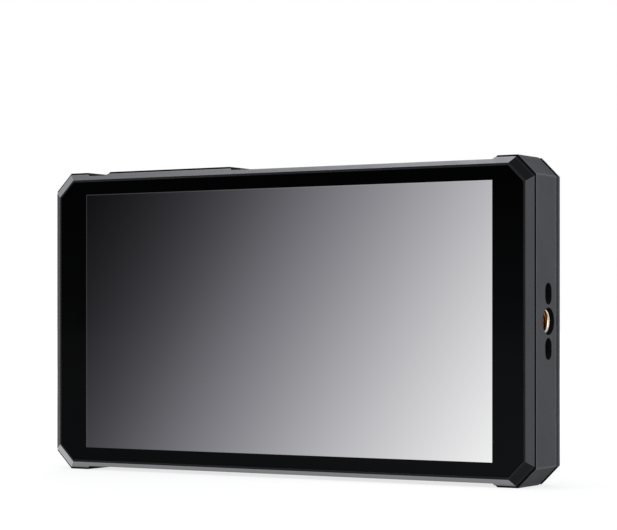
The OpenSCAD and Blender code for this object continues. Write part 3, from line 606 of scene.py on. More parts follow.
def cover_glass():
    finish = Finish("cover_glass", (0.0003, 0.0003, 0.0004), 0.05, gloss=0.02)
    finish.roughen(finish.spread(finish.noise(9, 6.0), 0.45, 0.75), 0.07)
    finish.tint(finish.spread(finish.noise(14), 0.4, 0.7), (0.0004, 0.0004, 0.0005))

    left = PICTURE_MIDDLE[0] - PICTURE_WIDTH / 2
    top = PICTURE_MIDDLE[1] + PICTURE_HEIGHT / 2
    across = finish.spread(finish.along("X"), left, left + PICTURE_WIDTH)
    down = finish.spread(finish.along("Z"), top, top - PICTURE_HEIGHT)
    inside = finish.all_of(
        finish.near(finish.along("X"), PICTURE_MIDDLE[0], PICTURE_WIDTH / 2),
        finish.near(finish.along("Z"), PICTURE_MIDDLE[1], PICTURE_HEIGHT / 2),
        finish.below(finish.facing("Y"), -0.9),
    )
    share = finish.math("MULTIPLY_ADD", across, RAMP_ACROSS, finish.all_of(down, RAMP_DOWN))
    curve = finish.add("ShaderNodeFloatCurve", {"Value": share})
    points = curve.mapping.curves[0].points
    for middle_point in RAMP_CURVE[1:-1]:
        points.new(*middle_point)
    points[0].location = RAMP_CURVE[0]
    points[-1].location = RAMP_CURVE[-1]
    curve.mapping.update()
    # painted reflection: the black print under the glass is a little greyer towards the lower right
    painted_reflection = finish.all_of(down, finish.math("MULTIPLY_ADD", across, 0.55, 0.45))
    finish.tint(painted_reflection, PRINT_PAINTED_REFLECTION)

    # the curve is read as shown on a display, so it is turned into light
    shown = finish.math("POWER", curve.outputs[0], 2.2)

    # a painted highlight: a thin pale line of emitted light where the display's edge catches light,
    # left and top
    line = finish.any_of(
        finish.below(across, RIM_HIGHLIGHT / PICTURE_WIDTH),
        finish.below(down, RIM_HIGHLIGHT / PICTURE_HEIGHT),
    )
    shown = finish.math("MULTIPLY_ADD", line, 0.035, shown)

    inputs = {"Factor": share, "A": RAMP_COOL, "B": (1, 1, 1, 1)}
    cool = finish.add("ShaderNodeMix", inputs, data_type="RGBA")
    finish.drive("Emission Color", cool.outputs["Result"])
    finish.drive("Emission Strength", finish.all_of(shown, inside))
    return finish


# %% [markdown]
# ## Plastics of the battery plate, sockets, keys and connectors
#
# These are all moulded, so one helper makes them: a base colour, a roughness and
# the size and height of the mould's grain. What differs is then laid over it. The
# battery plate has a coarse, leathery texture. The sockets are smooth and glossy
# black nylon. The keys are satin, with a printed mark on the top: a power symbol,
# one dot and two dots. A print is a mask worked out from the place on the key.

# %% Moulded plastics
def moulded(name, color, roughness, grain_size, height, gloss=0.3, edge=1.5, width=0.25):
    finish = Finish(name, color, roughness, gloss=gloss, patch=12)
    grain(finish, grain_size, height, 0.08)
    # paler edges: partly wear, partly a painted highlight
    wear_and_highlight_edges(finish, width, edge)
    return finish


def plate_plastic():
    finish = moulded("plate_plastic", (0.017, 0.017, 0.018), 0.52, 0.4, 0.030, 0.4, 2.4, 0.35)
    pebbles = finish.cells(0.8, randomness=0.9)
    finish.raise_by(finish.spread(pebbles, 0.1, 0.6, 1, 0), 0.05)
    rail = finish.near(finish.along("X"), 20.6, 1.4)
    finish.roughen(finish.all_of(rail, finish.spread(finish.streaks(0.4, 0.4, 9), 0.5, 0.8)), -0.2)
    # painted shade in the plate's grooves
    paint_recess_shade(finish, 1.5, 0.3)
    return finish


def socket_plastic():
    finish = moulded("socket_plastic", (0.012, 0.012, 0.013), 0.30, 0.15, 0.003, 0.4)
    # painted shade in the socket's openings
    paint_recess_shade(finish, 2.0, 0.2)
    return finish


def connector_plastic():
    """Cream nylon of the flat cables' connectors, with a row of contacts along X."""
    finish = moulded("connector_plastic", (0.62, 0.57, 0.45), 0.42, 0.2, 0.004)
    flat = finish.above(finish.size(finish.facing("Z")), 0.7)
    finish.tint(finish.all_of(finish.bars("X", 0.5, 0.45), flat), (0.75, 0.58, 0.26))
    return finish


PRINT_WHITE = (0.55, 0.55, 0.54)
SYMBOL_RADIUS = 1.25
SYMBOL_STROKE = 0.16
DOT_RADIUS = 0.45


def printed_power_symbol(finish, middle_x):
    """A ring that is open at the back, with a short bar in the opening."""
    reach = finish.distance_to("XY", (middle_x, 0))
    ring = finish.near(reach, SYMBOL_RADIUS, SYMBOL_STROKE)
    beside = finish.size(finish.math("SUBTRACT", finish.along("X"), middle_x))
    open_back = finish.all_of(finish.below(beside, 0.5), finish.above(finish.along("Y"), 0))
    ring = finish.all_of(ring, finish.inverse(open_back))
    short = finish.near(finish.along("Y"), 0.95, 0.7)
    return finish.any_of(ring, finish.all_of(finish.below(beside, SYMBOL_STROKE), short))


def printed_dots(finish, *places_x):
    reaches = [finish.distance_to("XY", (x, 0)) for x in places_x]
    return finish.below(finish.join("MINIMUM", reaches), DOT_RADIUS)


def key_plastic(name, print_mark=None, *places_x):
    finish = moulded(name, (0.020, 0.020, 0.022), 0.36, 0.12, 0.003, 0.35, 1.8)
    if print_mark:
        top = finish.above(finish.facing("Z"), 0.9)
        rubbed = finish.spread(finish.noise(0.3, 4.0), 0.25, 0.45, 0.6, 1.0)
        finish.tint(finish.all_of(print_mark(finish, *places_x), top, rubbed), PRINT_WHITE)
    return finish


# %% [markdown]
# ## Metals
#
# The metals share a helper too. Rolled sheet and drawn shells carry fine lines in
# the direction they were worked, which is noise stretched along one axis. On top
# come small scratches: noise with a narrow range picked out of it. Screws are
# turned and plated, or blackened so that the edges of the cross wear bright.

# %% Sheet, drawn and turned metals
def worked_metal(name, color, roughness, lines, height=0.002):
    """Metal with fine lines; lines are the lengths of one line along x, y and z."""
    finish = Finish(name, color, roughness, metallic=1.0)
    finish.tint(finish.spread(finish.noise(6), 0.3, 0.7), scaled(color, 0.86))
    streaks = finish.streaks(*lines)
    finish.raise_by(streaks, height)
    finish.roughen(finish.spread(streaks, 0.3, 0.7, -0.5, 0.5), 0.14)
    finish.roughen(finish.near(finish.noise(2.5, 8.0), 0.5, 0.006), 0.15)   # scratches
    # paler edges: partly wear, partly a painted highlight
    finish.tint(finish.edges(0.12), scaled(color, 1.15))
    return finish


def sheet_metal(name, color, roughness=0.34):
    return worked_metal(name, color, roughness, (12, 0.06, 0.10))


def socket_steel():
    finish = worked_metal("socket_steel", (0.62, 0.61, 0.59), 0.28, (7, 0.08, 0.08))
    # painted shade inside the socket shells
    paint_recess_shade(finish, 2.5, 0.10)
    return finish


def heat_sink_metal():
    return worked_metal("heat_sink_metal", (0.66, 0.67, 0.69), 0.42, (0.12, 0.12, 25), 0.006)


def screw_steel():
    finish = worked_metal("screw_steel", (0.58, 0.58, 0.60), 0.30, (0.1, 0.5, 0.1))
    blue = finish.spread(finish.noise(0.8), 0.45, 0.65, 0, 0.5)
    finish.tint(blue, (0.52, 0.55, 0.62))
    return finish


def black_screw():
    """Blackened steel: dark and oily, worn to steel on the edges of the cross."""
    finish = Finish("black_screw", (0.020, 0.020, 0.021), 0.32, metallic=0.6,
                    patch=3, shift=0.3, uneven=0.16)
    finish.raise_by(finish.noise(0.15, 3.0), 0.003)
    bright = finish.all_of(finish.edges(0.10), finish.spread(finish.noise(0.5), 0.4, 0.6))
    finish.tint(bright, (0.16, 0.155, 0.15))
    return finish


def plated_contact(name, color, roughness=0.22):
    return worked_metal(name, color, roughness, (0.3, 0.3, 0.3), 0.001)


def spring_steel():
    """Drawn wire, bright, with a trace of oil."""
    finish = worked_metal("spring_steel", (0.50, 0.49, 0.48), 0.24, (0.2, 0.05, 0.2))
    finish.tint(finish.spread(finish.noise(1.2), 0.5, 0.7), (0.36, 0.33, 0.30))
    return finish


BRASS = (0.80, 0.56, 0.24)
MOUTH_RADIUS = 3.26
MOUTH_LIP = 0.12
MOUTH_BEVEL = 0.38
BORE_SHADE_BROWN = (0.34, 0.125, 0.016)
BORE_PAINTED_SHADES = (   # painted shade: the colour that the bore turns to between two depths
    (0.36, 0.56, (0.06, 0.018, 0.004)),   # painted shade behind the bevel
    (0.8, 1.0, BORE_SHADE_BROWN),               # painted shade, brown in the first turns
    (1.6, 3.6, (0.03, 0.012, 0.003)),     # painted shade, nearly black further in
)


def insert_brass():
    """Turned brass; the rings of the tool follow the insert's own axis, local Z."""
    finish = Finish("insert_brass", BRASS, 0.24, metallic=1.0)
    reach = finish.distance_to("XY", (0, 0))
    sweep = finish.math("DIVIDE", finish.math("ADD", reach, finish.along("Z")), 0.06)
    inputs = {"W": sweep, "Scale": 1.0}
    rings = finish.add("ShaderNodeTexNoise", inputs, noise_dimensions="1D").outputs["Fac"]
    finish.raise_by(rings, 0.003)
    finish.roughen(finish.spread(rings, 0.3, 0.7, -0.5, 0.5), 0.12)
    tarnish = finish.spread(finish.noise(1.6, 5.0), 0.45, 0.7)
    finish.tint(tarnish, (0.62, 0.38, 0.14))
    finish.roughen(tarnish, 0.10)
    # a painted highlight, pale, on the mouth's bevel, and painted shade, brown, down in the thread
    bore = finish.below(reach, MOUTH_RADIUS + 0.02)
    depth = finish.all_of(finish.along("Z"), -1.0)
    finish.tint(bore, BORE_SHADE_BROWN)
    for start, end, color in BORE_PAINTED_SHADES:
        finish.tint(finish.all_of(bore, finish.spread(depth, start, end)), color)
    # painted shade in the hollows of the thread
    finish.tint(finish.recesses(0.8), (0.08, 0.030, 0.006))
    # the painted highlight on the mouth's bevel
    bevel_end = MOUTH_LIP + MOUTH_BEVEL + 0.02
    on_bevel = finish.near(depth, (MOUTH_LIP + bevel_end) / 2, (bevel_end - MOUTH_LIP) / 2)
    cut = finish.all_of(on_bevel, bore)
    finish.tint(cut, (1.0, 0.98, 0.84))
    finish.roughen(cut, 0.10)
    return finish


# %% [markdown]
# ## Circuit boards and chips
#
# A board is glass-fibre laminate under green lacquer. The copper tracks show
# through as paler lines, in bundles that run up in one patch and across in the
# next, and gold pads and holes are dotted over it. Cells give the patches, bars
# the tracks, and a second, nearly regular set of cells the pads. The main board
# stands upright and the key board lies flat, so the tracks are told which axes to
# follow. Chips are matt black resin, the processor with a dimple at one corner, and
# the taller cans of the capacitors are bare aluminium with a line scored in the top.

# %% Boards and chips
LACQUER = (0.012, 0.085, 0.040)
TRACK = (0.030, 0.155, 0.070)
GOLD = (0.80, 0.60, 0.27)
HOLE_BLACK = (0.01, 0.01, 0.01)
LAMINATE = (0.24, 0.22, 0.12)


def circuit_board(name, across, up, faces):
    finish = Finish(name, LACQUER, 0.28, gloss=0.45, patch=15, shift=0.2)
    weave = finish.any_of(finish.bars(across, 0.5, 0.5), finish.bars(up, 0.5, 0.5))
    finish.raise_by(weave, 0.002)
    patch = finish.cells(7, "Color")
    first_way = finish.above(patch, 0.5)
    tracks_up = finish.all_of(first_way, finish.bars(across, 0.62, 0.36))
    tracks_across = finish.all_of(finish.inverse(first_way), finish.bars(up, 0.62, 0.36))
    tracks = finish.any_of(tracks_up, tracks_across)
    flat = finish.above(finish.size(finish.facing(faces)), 0.8)
    finish.tint(finish.all_of(tracks, flat), TRACK)
    finish.raise_by(tracks, 0.015)
    spots = finish.cells(2.6, randomness=0.75)
    for reach, color in ((0.14, GOLD), (0.06, HOLE_BLACK)):
        finish.tint(finish.all_of(finish.below(spots, reach), flat), color)
    finish.tint(finish.inverse(flat), LAMINATE)
    return finish


def chip_resin(name, dimple=None):
    finish = Finish(name, (0.014, 0.014, 0.015), 0.48, gloss=0.35, patch=6, shift=0.3)
    grain(finish, 0.08, 0.004, 0.10)
    if dimple:
        dent = finish.below(finish.distance_to("XZ", dimple), 0.6)
        finish.raise_by(finish.inverse(dent), 0.05)
        finish.roughen(dent, -0.2)
    # paler edges: partly wear, partly a painted highlight
    wear_and_highlight_edges(finish, 0.12, 1.8)
    return finish


CAN_PLACES = ((-38, 60.7), (-30, 67.7), (22, 27.7), (-12, 21.7), (14, 17.7))
CAN_RADIUS = 2.6


def board_parts():
    finish = chip_resin("board_parts")
    reaches = [finish.distance_to("XZ", place) for place in CAN_PLACES]
    can = finish.below(finish.join("MINIMUM", reaches), CAN_RADIUS)
    score = finish.any_of(*[
        finish.all_of(finish.near(finish.along("X"), x, 0.09), finish.near(finish.along("Z"), z, 2))
        for x, z in CAN_PLACES
    ])
    finish.tint(can, (0.60, 0.60, 0.62))
    finish.tint(score, (0.20, 0.20, 0.21))
    finish.drive("Metallic", can)
    finish.roughen(can, -0.16)
    return finish


# %% [markdown]
# ## Display layers, tape and pads
#
# Behind the cover glass lie a touch sensor with its fine diamond mesh, the display
# cell with rows of picture points, and a white light guide printed with dots. None
# of it shows from outside, but the parts come apart in the model, and each has to
# read as what it is.

# %% Display layers
def sensor_film():
    finish = Finish("sensor_film", (0.10, 0.11, 0.12), 0.12, gloss=0.6, patch=30, shift=0.12)
    slants = [finish.math(way, finish.along("X"), finish.along("Z")) for way in ("ADD", "SUBTRACT")]
    mesh_lines = finish.any_of(*[finish.stripes(slant, 3.2, 0.05) for slant in slants])
    finish.tint(mesh_lines, (0.26, 0.24, 0.20))
    finish.raise_by(mesh_lines, 0.002)
    return finish


def display_glass():
    finish = Finish("display_glass", (0.045, 0.050, 0.062), 0.16, gloss=0.6, patch=40, shift=0.15)
    rows = finish.any_of(finish.bars("X", 0.30, 0.25), finish.bars("Z", 0.30, 0.18))
    finish.tint(rows, (0.016, 0.017, 0.020))
    finish.raise_by(rows, 0.001)
    return finish


def backlight_sheet():
    finish = Finish("backlight_sheet", (0.80, 0.81, 0.82), 0.40, gloss=0.4, patch=30, shift=-0.05)
    dots = finish.below(finish.cells(1.1, randomness=0.15), 0.32)
    finish.tint(dots, (0.92, 0.92, 0.92))
    finish.raise_by(dots, 0.010)
    return finish


def light_source(name, color, glow):
    """Yellow phosphor in a white case; it shines a little."""
    finish = Finish(name, color, 0.35, gloss=0.4, patch=2, shift=0.12)
    grain(finish, 0.2, 0.01)
    finish.tint(finish.edges(0.3), (0.78, 0.78, 0.76))
    finish.drive("Emission Color", (*color, 1))
    finish.drive("Emission Strength", glow)
    return finish


def adhesive_tape():
    finish = Finish("adhesive_tape", (0.012, 0.012, 0.012), 0.75, gloss=0.2, patch=6, shift=0.4)
    finish.raise_by(finish.cells(0.16), 0.02)
    return finish


def pad_rubber():
    """Soft grey-blue pad that carries heat, woven glass inside."""
    finish = Finish("thermal_pad", (0.20, 0.27, 0.33), 0.70, gloss=0.2, patch=5, shift=0.15)
    weave = finish.any_of(finish.bars("X", 0.7, 0.45), finish.bars("Z", 0.7, 0.45))
    finish.raise_by(weave, 0.03)
    grain(finish, 0.1, 0.006)
    return finish


def clear_plastic():
    """Light pipe: clear, with the faint green of the lamp inside."""
    finish = Finish("clear_plastic", (0.52, 0.60, 0.55), 0.22, gloss=0.5, patch=2, shift=-0.1)
    grain(finish, 0.15, 0.003)
    finish.drive("Transmission Weight", 0.6)
    finish.drive("Emission Color", (0.30, 1.0, 0.42, 1))
    finish.drive("Emission Strength", 0.05)
    return finish


# %% [markdown]
# ## Flat cables and wires
#
# The display's cables are amber film with copper lines inside, and the key board
# hangs on a white ribbon with tinned ones. The lines all run the way the cable
# runs, so bars across the cable's width are enough. The two battery leads are
# silicone-covered and slightly dusty.

# %% Cables and wires
def flat_cable(name, film, conductor, pitch):
    finish = Finish(name, film, 0.26, gloss=0.5, patch=8, shift=0.12)
    lines = finish.bars("X", pitch, 0.5)
    finish.tint(lines, conductor)
    finish.raise_by(lines, 0.012)
    grain(finish, 0.3, 0.002)
    return finish


def wire_cover(name, color):
    finish = Finish(name, color, 0.48, gloss=0.35, patch=4, shift=0.25)
    grain(finish, 0.12, 0.006)
    dust = finish.spread(finish.noise(0.9, 6.0), 0.58, 0.75, 0, 0.35)
    finish.tint(dust, (0.35, 0.34, 0.33))
    return finish


# %% [markdown]
# ## Every part gets its finish
#
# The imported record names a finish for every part. A table of finishes by those
# names dresses all of them in one loop. A few parts need a version of their own: the
# rear cover, the printed keys, the flat key board and the processor with its
# dimple. A material sits on the part's object, not in its mesh, so the
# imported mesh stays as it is.

# %% Dress all parts
FINISHES = {finish.name: finish for finish in (
    frame_plastic(), ring_plastic(), cover_glass(), adhesive_tape(), sensor_film(),
    display_glass(), backlight_sheet(), connector_plastic(), pad_rubber(), heat_sink_metal(),
    screw_steel(), socket_steel(), socket_plastic(), insert_brass(), black_screw(),
    clear_plastic(), plate_plastic(), spring_steel(),
    light_source("led", (0.86, 0.78, 0.36), 0.25),
    sheet_metal("tray_metal", (0.60, 0.61, 0.63)),
    sheet_metal("chassis_metal", (0.52, 0.53, 0.55), 0.40),
    sheet_metal("switch_metal", (0.58, 0.58, 0.60), 0.30),
    flat_cable("flex_film", (0.42, 0.17, 0.030), (0.62, 0.30, 0.10), 0.5),
    flat_cable("cable_film", (0.72, 0.72, 0.70), (0.48, 0.48, 0.50), 1.0),
    circuit_board("circuit_board", "X", "Z", "Y"),
    plated_contact("contact_metal", (0.66, 0.63, 0.57)),
    plated_contact("contact_gold", (0.83, 0.60, 0.26)),
    key_plastic("key_plastic"),
    wire_cover("red_wire", (0.42, 0.020, 0.016)),
    wire_cover("black_wire", (0.018, 0.018, 0.019)),
)}
FINISHES["chip"] = board_parts()
OWN_FINISHES = {
    "rear_cover": cover_plastic(),
    "key_board": circuit_board("key_circuit_board", "X", "Y", "Z"),
    "video_processor": chip_resin("processor_resin", (28.6, 52.9)),
    "power_key": key_plastic("power_key_plastic", printed_power_symbol, -48.3),
    "f1_key": key_plastic("f1_key_plastic", printed_dots, -36.4),
    "f2_key": key_plastic("f2_key_plastic", printed_dots, -24.9, -23.1),
}


def dress(thing, finish):
    if not thing.material_slots:
        thing.data.materials.append(finish.material)
    for place in thing.material_slots:
        place.link = "OBJECT"
        place.material = finish.material


for row in frame["record"]["subparts"]:
    part = row["node"]
    dress(nodes[part], OWN_FINISHES.get(part, FINISHES[row["material_slot"]]))
print(len(FINISHES) + len(OWN_FINISHES), "finishes on", len(nodes), "parts")


# %% [markdown]
# ## Moulded edges
#
# A moulded or machined edge always has a radius, and that small radius is what
# catches the light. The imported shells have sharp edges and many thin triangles, so
# three modifiers run in order: weld the corners, dissolve the flat faces into one,
# and bevel every edge that turns by more than thirty degrees. The radii are those
# of the real thing: a tenth of a millimetre on screws, about a fifth on keys.

# %% Round the edges
EDGE_RADII = {   # mm
    0.08: "heat_sink",
    0.10: "front_frame flex_connectors power_switch f1_switch f2_switch "
          "battery_plate_screws cover_screws board_screws chassis_screws",
    0.12: "cover_glass battery_contacts status_light_pipe video_processor "
          "headphone_jack dc_in_jack dc_out_jack board_components",
    0.15: "battery_terminal",
    0.16: "middle_frame",
    0.18: "rear_cover",
    0.20: "battery_plate",
    0.22: "battery_latch power_key f1_key f2_key",
    0.35: "dc_in_pin dc_out_pin",
}


def round_edges(part, radius):
    for name, kind, settings in (
        ("weld", "WELD", {"merge_threshold": 0.001 * MM}),
        ("flatten", "DECIMATE", {"decimate_type": "DISSOLVE", "angle_limit": radians(0.5)}),
        ("edge", "BEVEL", {
            "width": radius * MM, "segments": 3, "limit_method": "ANGLE", "angle_limit": radians(30),
            "harden_normals": True, "miter_outer": "MITER_ARC", "loop_slide": False,
        }),
    ):
        apply_settings(nodes[part].modifiers.new(name, kind), settings)


for radius, parts in EDGE_RADII.items():
    for part in parts.split():
        round_edges(part, radius)
print("rounded edges on", sum(len(parts.split()) for parts in EDGE_RADII.values()), "parts")


# %% [markdown]
# ## Brass inserts with a real thread
#
# The tripod mounts are brass inserts, knurled outside and threaded inside: a quarter
# inch thread, twenty turns to the inch. In the picture the bevelled mouth is a
# bright crescent, and the turns of the thread show behind it. A screw modifier
# could wind the profile, but it leaves the mouth open. Here the insert is a closed
# stack of rings instead. Each ring is a circle of points at one depth, and the
# thread is only a radius that depends on the angle and the depth together. The
# bevelled mouth is the larger of two radii, so the thread runs out as it does on a
# lathe.

# %% A piece from rings of points
def add_skin(shape, rings, closed):
    """Joins rings of points into a skin, which closes on itself or gets two end caps."""
    rows = [[shape.verts.new(point) for point in ring] for ring in rings]
    for row, after in zip(rows, rows[1:] + rows[:1] * closed):
        for k in range(len(row)):
            j = (k + 1) % len(row)
            shape.faces.new((row[k], row[j], after[j], after[k]))
    if not closed:
        shape.faces.new(rows[0])
        shape.faces.new(rows[-1])


def make_piece(name, skins, slot, stands_for=(), sharp=40, closed=False,
               place=(0, 0, 0), turn=(0, 0, 0)):
    """A piece on the casing, from skins in mm; it is smooth up to the angle sharp."""
    shape = bmesh.new()
    for rings in skins:
        add_skin(shape, rings, closed)
    bmesh.ops.recalc_face_normals(shape, faces=shape.faces)
    mesh = bpy.data.meshes.new(name)
    shape.to_mesh(mesh)
    shape.free()
    mesh.transform(Matrix.Scale(MM, 4))
    mesh.shade_smooth()
    mesh.set_sharp_from_angle(angle=radians(sharp))
    thing = bpy.data.objects.new(name, mesh)
    thing.location = Vector(place) * MM
    thing.rotation_euler = turn
    bpy.context.collection.objects.link(thing)
    dress(thing, FINISHES[slot])
    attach(thing, "casing")
    if stands_for:
        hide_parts(*stands_for)
    return thing


def circle(radius_at, depth, sides):
    """One ring round Z; radius_at gives the radius for a share of the turn."""
    ring = []
    for share in (k / sides for k in range(sides)):
        radius = radius_at(share)
        ring.append((radius * cos(2 * pi * share), radius * sin(2 * pi * share), depth))
    return ring


# %% Thread, knurl and insert
THREAD_PITCH = 1.27
THREAD_CREST = 2.60   # nearest to the axis
THREAD_ROOT = 3.16
THREAD_FLAT = 0.14    # of half a pitch, at the crest and at the root
INSERT_LENGTH = 6.4
INSERT_RADIUS = 4.0
INSERT_BEVEL = 0.2
GROOVE_HALF = 0.5
GROOVE_DEPTH = 0.3
KNURL_TEETH = 32
KNURL_DEPTH = 0.14
INSERT_SIDES = KNURL_TEETH * 4
BORE_STEPS = 80


def bore_radius(share, depth):
    """Radius of the threaded bore; the depth is counted from the mouth."""
    turn = depth / THREAD_PITCH - share
    slope = abs(2 * (turn - floor(turn)) - 1)
    cut = min(1.0, max(0.0, (slope - THREAD_FLAT) / (1 - 2 * THREAD_FLAT)))
    thread = THREAD_CREST + (THREAD_ROOT - THREAD_CREST) * cut
    below_lip = max(0.0, min(depth, INSERT_LENGTH - depth) - MOUTH_LIP)
    bevel = MOUTH_RADIUS - below_lip * (1 if below_lip < MOUTH_BEVEL else 4)
    return max(thread, bevel)


def knurled_radius(share, depth):
    """Radius of the outside, with its smooth groove in the middle."""
    if abs(depth - INSERT_LENGTH / 2) < GROOVE_HALF:
        return INSERT_RADIUS - GROOVE_DEPTH
    tooth = abs(2 * ((share * KNURL_TEETH) % 1) - 1)
    bevel = max(0.0, INSERT_BEVEL - min(depth, INSERT_LENGTH - depth))
    return INSERT_RADIUS - bevel - KNURL_DEPTH * tooth


def insert_rings():
    """Down the bore from the mouth at Z = 0, and back up the outside."""
    half, step = INSERT_LENGTH / 2, 0.01
    outside = [0, INSERT_BEVEL] + [
        half + side * (GROOVE_HALF + out * step) for side, out in ((-1, 1), (-1, -1), (1, -1), (1, 1))
    ] + [INSERT_LENGTH - INSERT_BEVEL, INSERT_LENGTH]
    bore = [INSERT_LENGTH * i / BORE_STEPS for i in range(BORE_STEPS + 1)]
    rings = [circle(lambda s: bore_radius(s, depth), -depth, INSERT_SIDES) for depth in bore]
    return rings + [
        circle(lambda s: knurled_radius(s, depth), -depth, INSERT_SIDES) for depth in reversed(outside)
    ]


INSERTS = {"side": ((77.15, 0, 41.7), (0, pi / 2, 0)), "bottom": ((0, 0, 0), (pi, 0, 0))}
for side, (place, turn) in INSERTS.items():
    insert = make_piece(
        side + "_insert", [insert_rings()], "insert_brass", [side + "_thread_insert"],
        sharp=50, closed=True, place=place, turn=turn,
    )
print("inserts:", len(insert.data.polygons), "faces each")


# %% [markdown]
# ## The latch's spring and the battery leads
#
# A wire is a round section carried along a path. The section's frame is turned as
# little as possible from point to point, so that it never twists. The spring's end
# turns lie flat, as on a ground spring, and only the turns between them have a
# pitch.
# The leads leave the terminal, pass the back wall and bend down to the main board
# in smooth curves, where the imported ones have corners.

# %% Wire along a path
def wire_rings(path, radius, sides=12):
    """Round sections of a wire along a list of points."""
    rings = []
    across = None
    for i, point in enumerate(path):
        ahead = (path[min(i + 1, len(path) - 1)] - path[max(i - 1, 0)]).normalized()
        if across is None:
            across = ahead.orthogonal().normalized()
        across = (across - ahead * across.dot(ahead)).normalized()
        other = ahead.cross(across)
        angles = [2 * pi * k / sides for k in range(sides)]
        rings.append([point + radius * (across * cos(a) + other * sin(a)) for a in angles])
    return rings


SPRING_MIDDLE = (0.0, 69.7)       # x and z of its axis
SPRING_ENDS = (2.45, 7.65)        # y of its lowest and highest point
SPRING_RADIUS = 2.5
SPRING_WIRE = 0.24
SPRING_TURNS = 5.0
FLAT_TURNS = 0.75                 # at each end
FLAT_HEIGHT = 0.10                # share of the height that each of them takes
SPRING_STEPS = 32                 # for each turn


def spring_height(turn):
    """Height along the spring, from 0 to 1: nearly flat end turns, even pitch between."""
    if turn < FLAT_TURNS:
        return FLAT_HEIGHT * turn / FLAT_TURNS
    if turn > SPRING_TURNS - FLAT_TURNS:
        return 1 - FLAT_HEIGHT * (SPRING_TURNS - turn) / FLAT_TURNS
    share = (turn - FLAT_TURNS) / (SPRING_TURNS - 2 * FLAT_TURNS)
    return FLAT_HEIGHT + (1 - 2 * FLAT_HEIGHT) * share


def spring_path():
    first, last = SPRING_ENDS[0] + SPRING_WIRE, SPRING_ENDS[1] - SPRING_WIRE
    path = []
    for i in range(round(SPRING_TURNS * SPRING_STEPS) + 1):
        turn = i / SPRING_STEPS
        path.append(Vector((
            SPRING_MIDDLE[0] + SPRING_RADIUS * cos(2 * pi * turn),
            first + (last - first) * spring_height(turn),
            SPRING_MIDDLE[1] + SPRING_RADIUS * sin(2 * pi * turn),
        )))
    return path


latch_coil = make_piece(
    "latch_coil", [wire_rings(spring_path(), SPRING_WIRE, sides=10)], "spring_steel",
    ["latch_spring"], sharp=60,
)
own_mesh(latch_coil)
print("spring:", len(latch_coil.data.polygons), "faces")


# %% Leads from the battery terminal
LEAD_RADIUS = 0.55
LEAD_SIDE = 2.6      # x at the terminal
LEAD_CORNERS = (     # times that x, then y and z
    (1.0, 10.85, 10.0), (1.0, 5.25, 10.0), (1.6, 1.8, 16.5), (2.2, -0.6, 18.5), (2.2, -1.8, 18.5),
)


def rounded_path(corners, share=0.35, steps=8):
    """Rounds each corner of a path with a short curve."""
    path = [corners[0]]
    for before, corner, after in zip(corners, corners[1:], corners[2:]):
        start, end = corner.lerp(before, share), corner.lerp(after, share)
        for t in (i / steps for i in range(steps + 1)):
            path.append(start.lerp(corner, t).lerp(corner.lerp(end, t), t))
    return path + [corners[-1]]


for side, name, cover in ((1, "positive", "red_wire"), (-1, "negative", "black_wire")):
    corners = [Vector((side * LEAD_SIDE * x, y, z)) for x, y, z in LEAD_CORNERS]
    rings = wire_rings(rounded_path(corners), LEAD_RADIUS)
    lead = make_piece("lead_" + name, [rings], cover, ["battery_lead_" + name], sharp=60)
print("leads:", len(lead.data.polygons), "faces each")


# %% [markdown]
# ## Contacts in the sockets
#
# Look into a socket and its contacts are what you see: rows of gold blades on the
# tongue. A blade is a low raised shape with sloping sides, so it needs only an
# outline, the face it stands on and a height. The outline is drawn in two
# directions along that face. The same helper makes the marks on the battery plate.
# A barrel jack has one bent leaf spring beside its pin, and the headphone jack has a
# plated ring in its mouth.

# %% Raised shapes
X, Y, Z = Vector((1, 0, 0)), Vector((0, 1, 0)), Vector((0, 0, 1))


def raised(outline, corner, right, up, height, slope):
    """Foot and top of a low shape; its outline lies in the plane of right and up."""
    middle = [sum(p[i] for p in outline) / len(outline) for i in (0, 1)]
    reach = [max(abs(p[i] - middle[i]) for p in outline) for i in (0, 1)]

    def level(shrink, lift):
        rim = []
        for p in outline:
            a, b = (middle[i] + (p[i] - middle[i]) * (1 - shrink / reach[i]) for i in (0, 1))
            rim.append(corner + right * a + up * b + right.cross(up) * lift)
        return rim

    return [level(0, 0), level(slope, height)]


def bar_outline(width, length):
    w, l = width / 2, length / 2
    return [(-w, -l), (w, -l), (w, l), (-w, l)]


# %% Rows of contact blades
CONTACT_ROWS = (
    # name, how many, their middle, the step between two, the blade's right and up,
    # its size along these, and its height
    ("video_in_back", 10, (-73.4, 2.0, 59.2), Z, Z, X, (0.5, 5.2), 0.10),
    ("video_in_front", 9, (-73.4, 0.75, 59.2), Z, X, Z, (5.2, 0.5), 0.10),
    ("video_out_back", 10, (-73.4, 2.0, 41.2), Z, Z, X, (0.5, 5.2), 0.10),
    ("video_out_front", 9, (-73.4, 0.75, 41.2), Z, X, Z, (5.2, 0.5), 0.10),
    ("data_port_back", 12, (-74.9, 0.2, 27.2), Z * 0.5, Z, X, (0.26, 3.2), 0.05),
    ("data_port_front", 12, (-74.9, -0.5, 27.2), Z * 0.5, X, Z, (3.2, 0.26), 0.05),
    ("card", 8, (-36, -1.35, 9.2), X * 2.6, Z, X, (12.0, 1.1), 0.30),
)
for name, count, middle, step, right, up, size, height in CONTACT_ROWS:
    places = [Vector(middle) + step * (i - (count - 1) / 2) for i in range(count)]
    blades = [raised(bar_outline(*size), place, right, up, height, height) for place in places]
    make_piece(name + "_contacts", blades, "contact_gold", sharp=20)
print(len(CONTACT_ROWS), "rows of contacts")


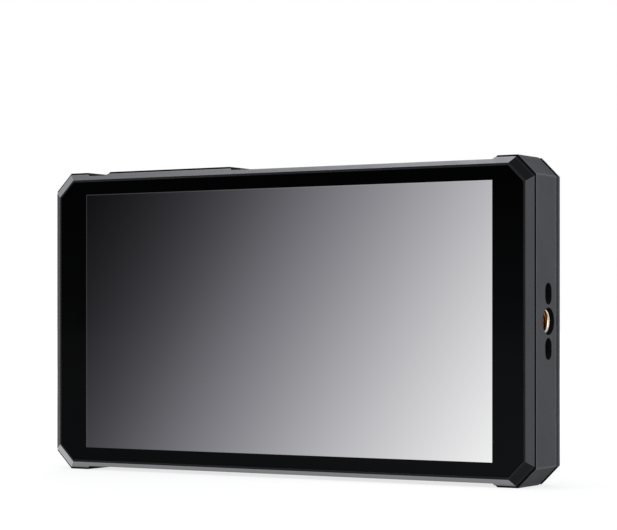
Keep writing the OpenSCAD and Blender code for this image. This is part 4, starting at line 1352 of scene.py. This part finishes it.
# %% Headphone ring and leaf springs
RING_OUTLINE = (   # radius and depth
    (1.84, -0.10), (1.84, 0.12), (1.92, 0.22), (2.06, 0.26), (2.20, 0.22), (2.30, 0.10), (2.30, -0.10),
)
ring = [circle(lambda share: radius, depth, 48) for radius, depth in RING_OUTLINE]
make_piece(
    "headphone_ring", [ring], "contact_metal", sharp=50, closed=True,
    place=(-77.93, 0.7, 70.7), turn=(0, -pi / 2, 0),
)

LEAF_LENGTH = 7.0
LEAF_SECTION = bar_outline(1.3, 0.18)
LEAF_STEPS = 14


def leaf_spring(name, start, inwards, towards_axis):
    """A bent strip along the wall of a barrel jack, bowed towards the pin."""
    side = inwards.cross(towards_axis)
    rings = []
    for share in (i / LEAF_STEPS for i in range(LEAF_STEPS + 1)):
        bow = 0.85 * sin(pi * share) ** 1.5 + 0.06
        middle = Vector(start) + inwards * LEAF_LENGTH * share + towards_axis * bow
        rings.append([middle + side * a + towards_axis * b for a, b in LEAF_SECTION])
    make_piece(name, [rings], "contact_metal")


leaf_spring("dc_in_leaf", (-76.9, 3.9, 15.2), X, -Y)
leaf_spring("dc_out_leaf", (40.0, 3.9, 0.6), Z, -Y)
print("headphone ring and two leaf springs")


# %% [markdown]
# ## Marks on the battery plate
#
# The plate has three raised marks moulded into its base, which every such plate
# needs in use: plus and minus beside the contacts, and an arrow that shows which way
# the battery slides. They are low shapes with sloping sides, in the plate's own
# plastic.

# %% Raised marks
MARK_HEIGHT = 0.18
MARK_SLOPE = 0.12
PLATE_FACE_Y = 10.85
MARKS = (   # outline, then x and z of its middle
    (bar_outline(3.2, 0.8), 13.4, 13.2),
    (bar_outline(0.8, 1.2), 13.4, 14.2),
    (bar_outline(0.8, 1.2), 13.4, 12.2),
    (bar_outline(3.2, 0.8), -13.4, 13.2),
    ([(-2.6, 2.2), (0, -2.2), (2.6, 2.2)], 0, 57.5),
    (bar_outline(1.8, 3.8), 0, 61.6),
)
# seen from behind, right is -X
skins = [
    raised(outline, Vector((x, PLATE_FACE_Y, z)), -X, Z, MARK_HEIGHT, MARK_SLOPE)
    for outline, x, z in MARKS
]
plate_marks = make_piece("plate_marks", skins, "plate_plastic", sharp=20)
print("marks:", len(plate_marks.data.polygons), "faces")
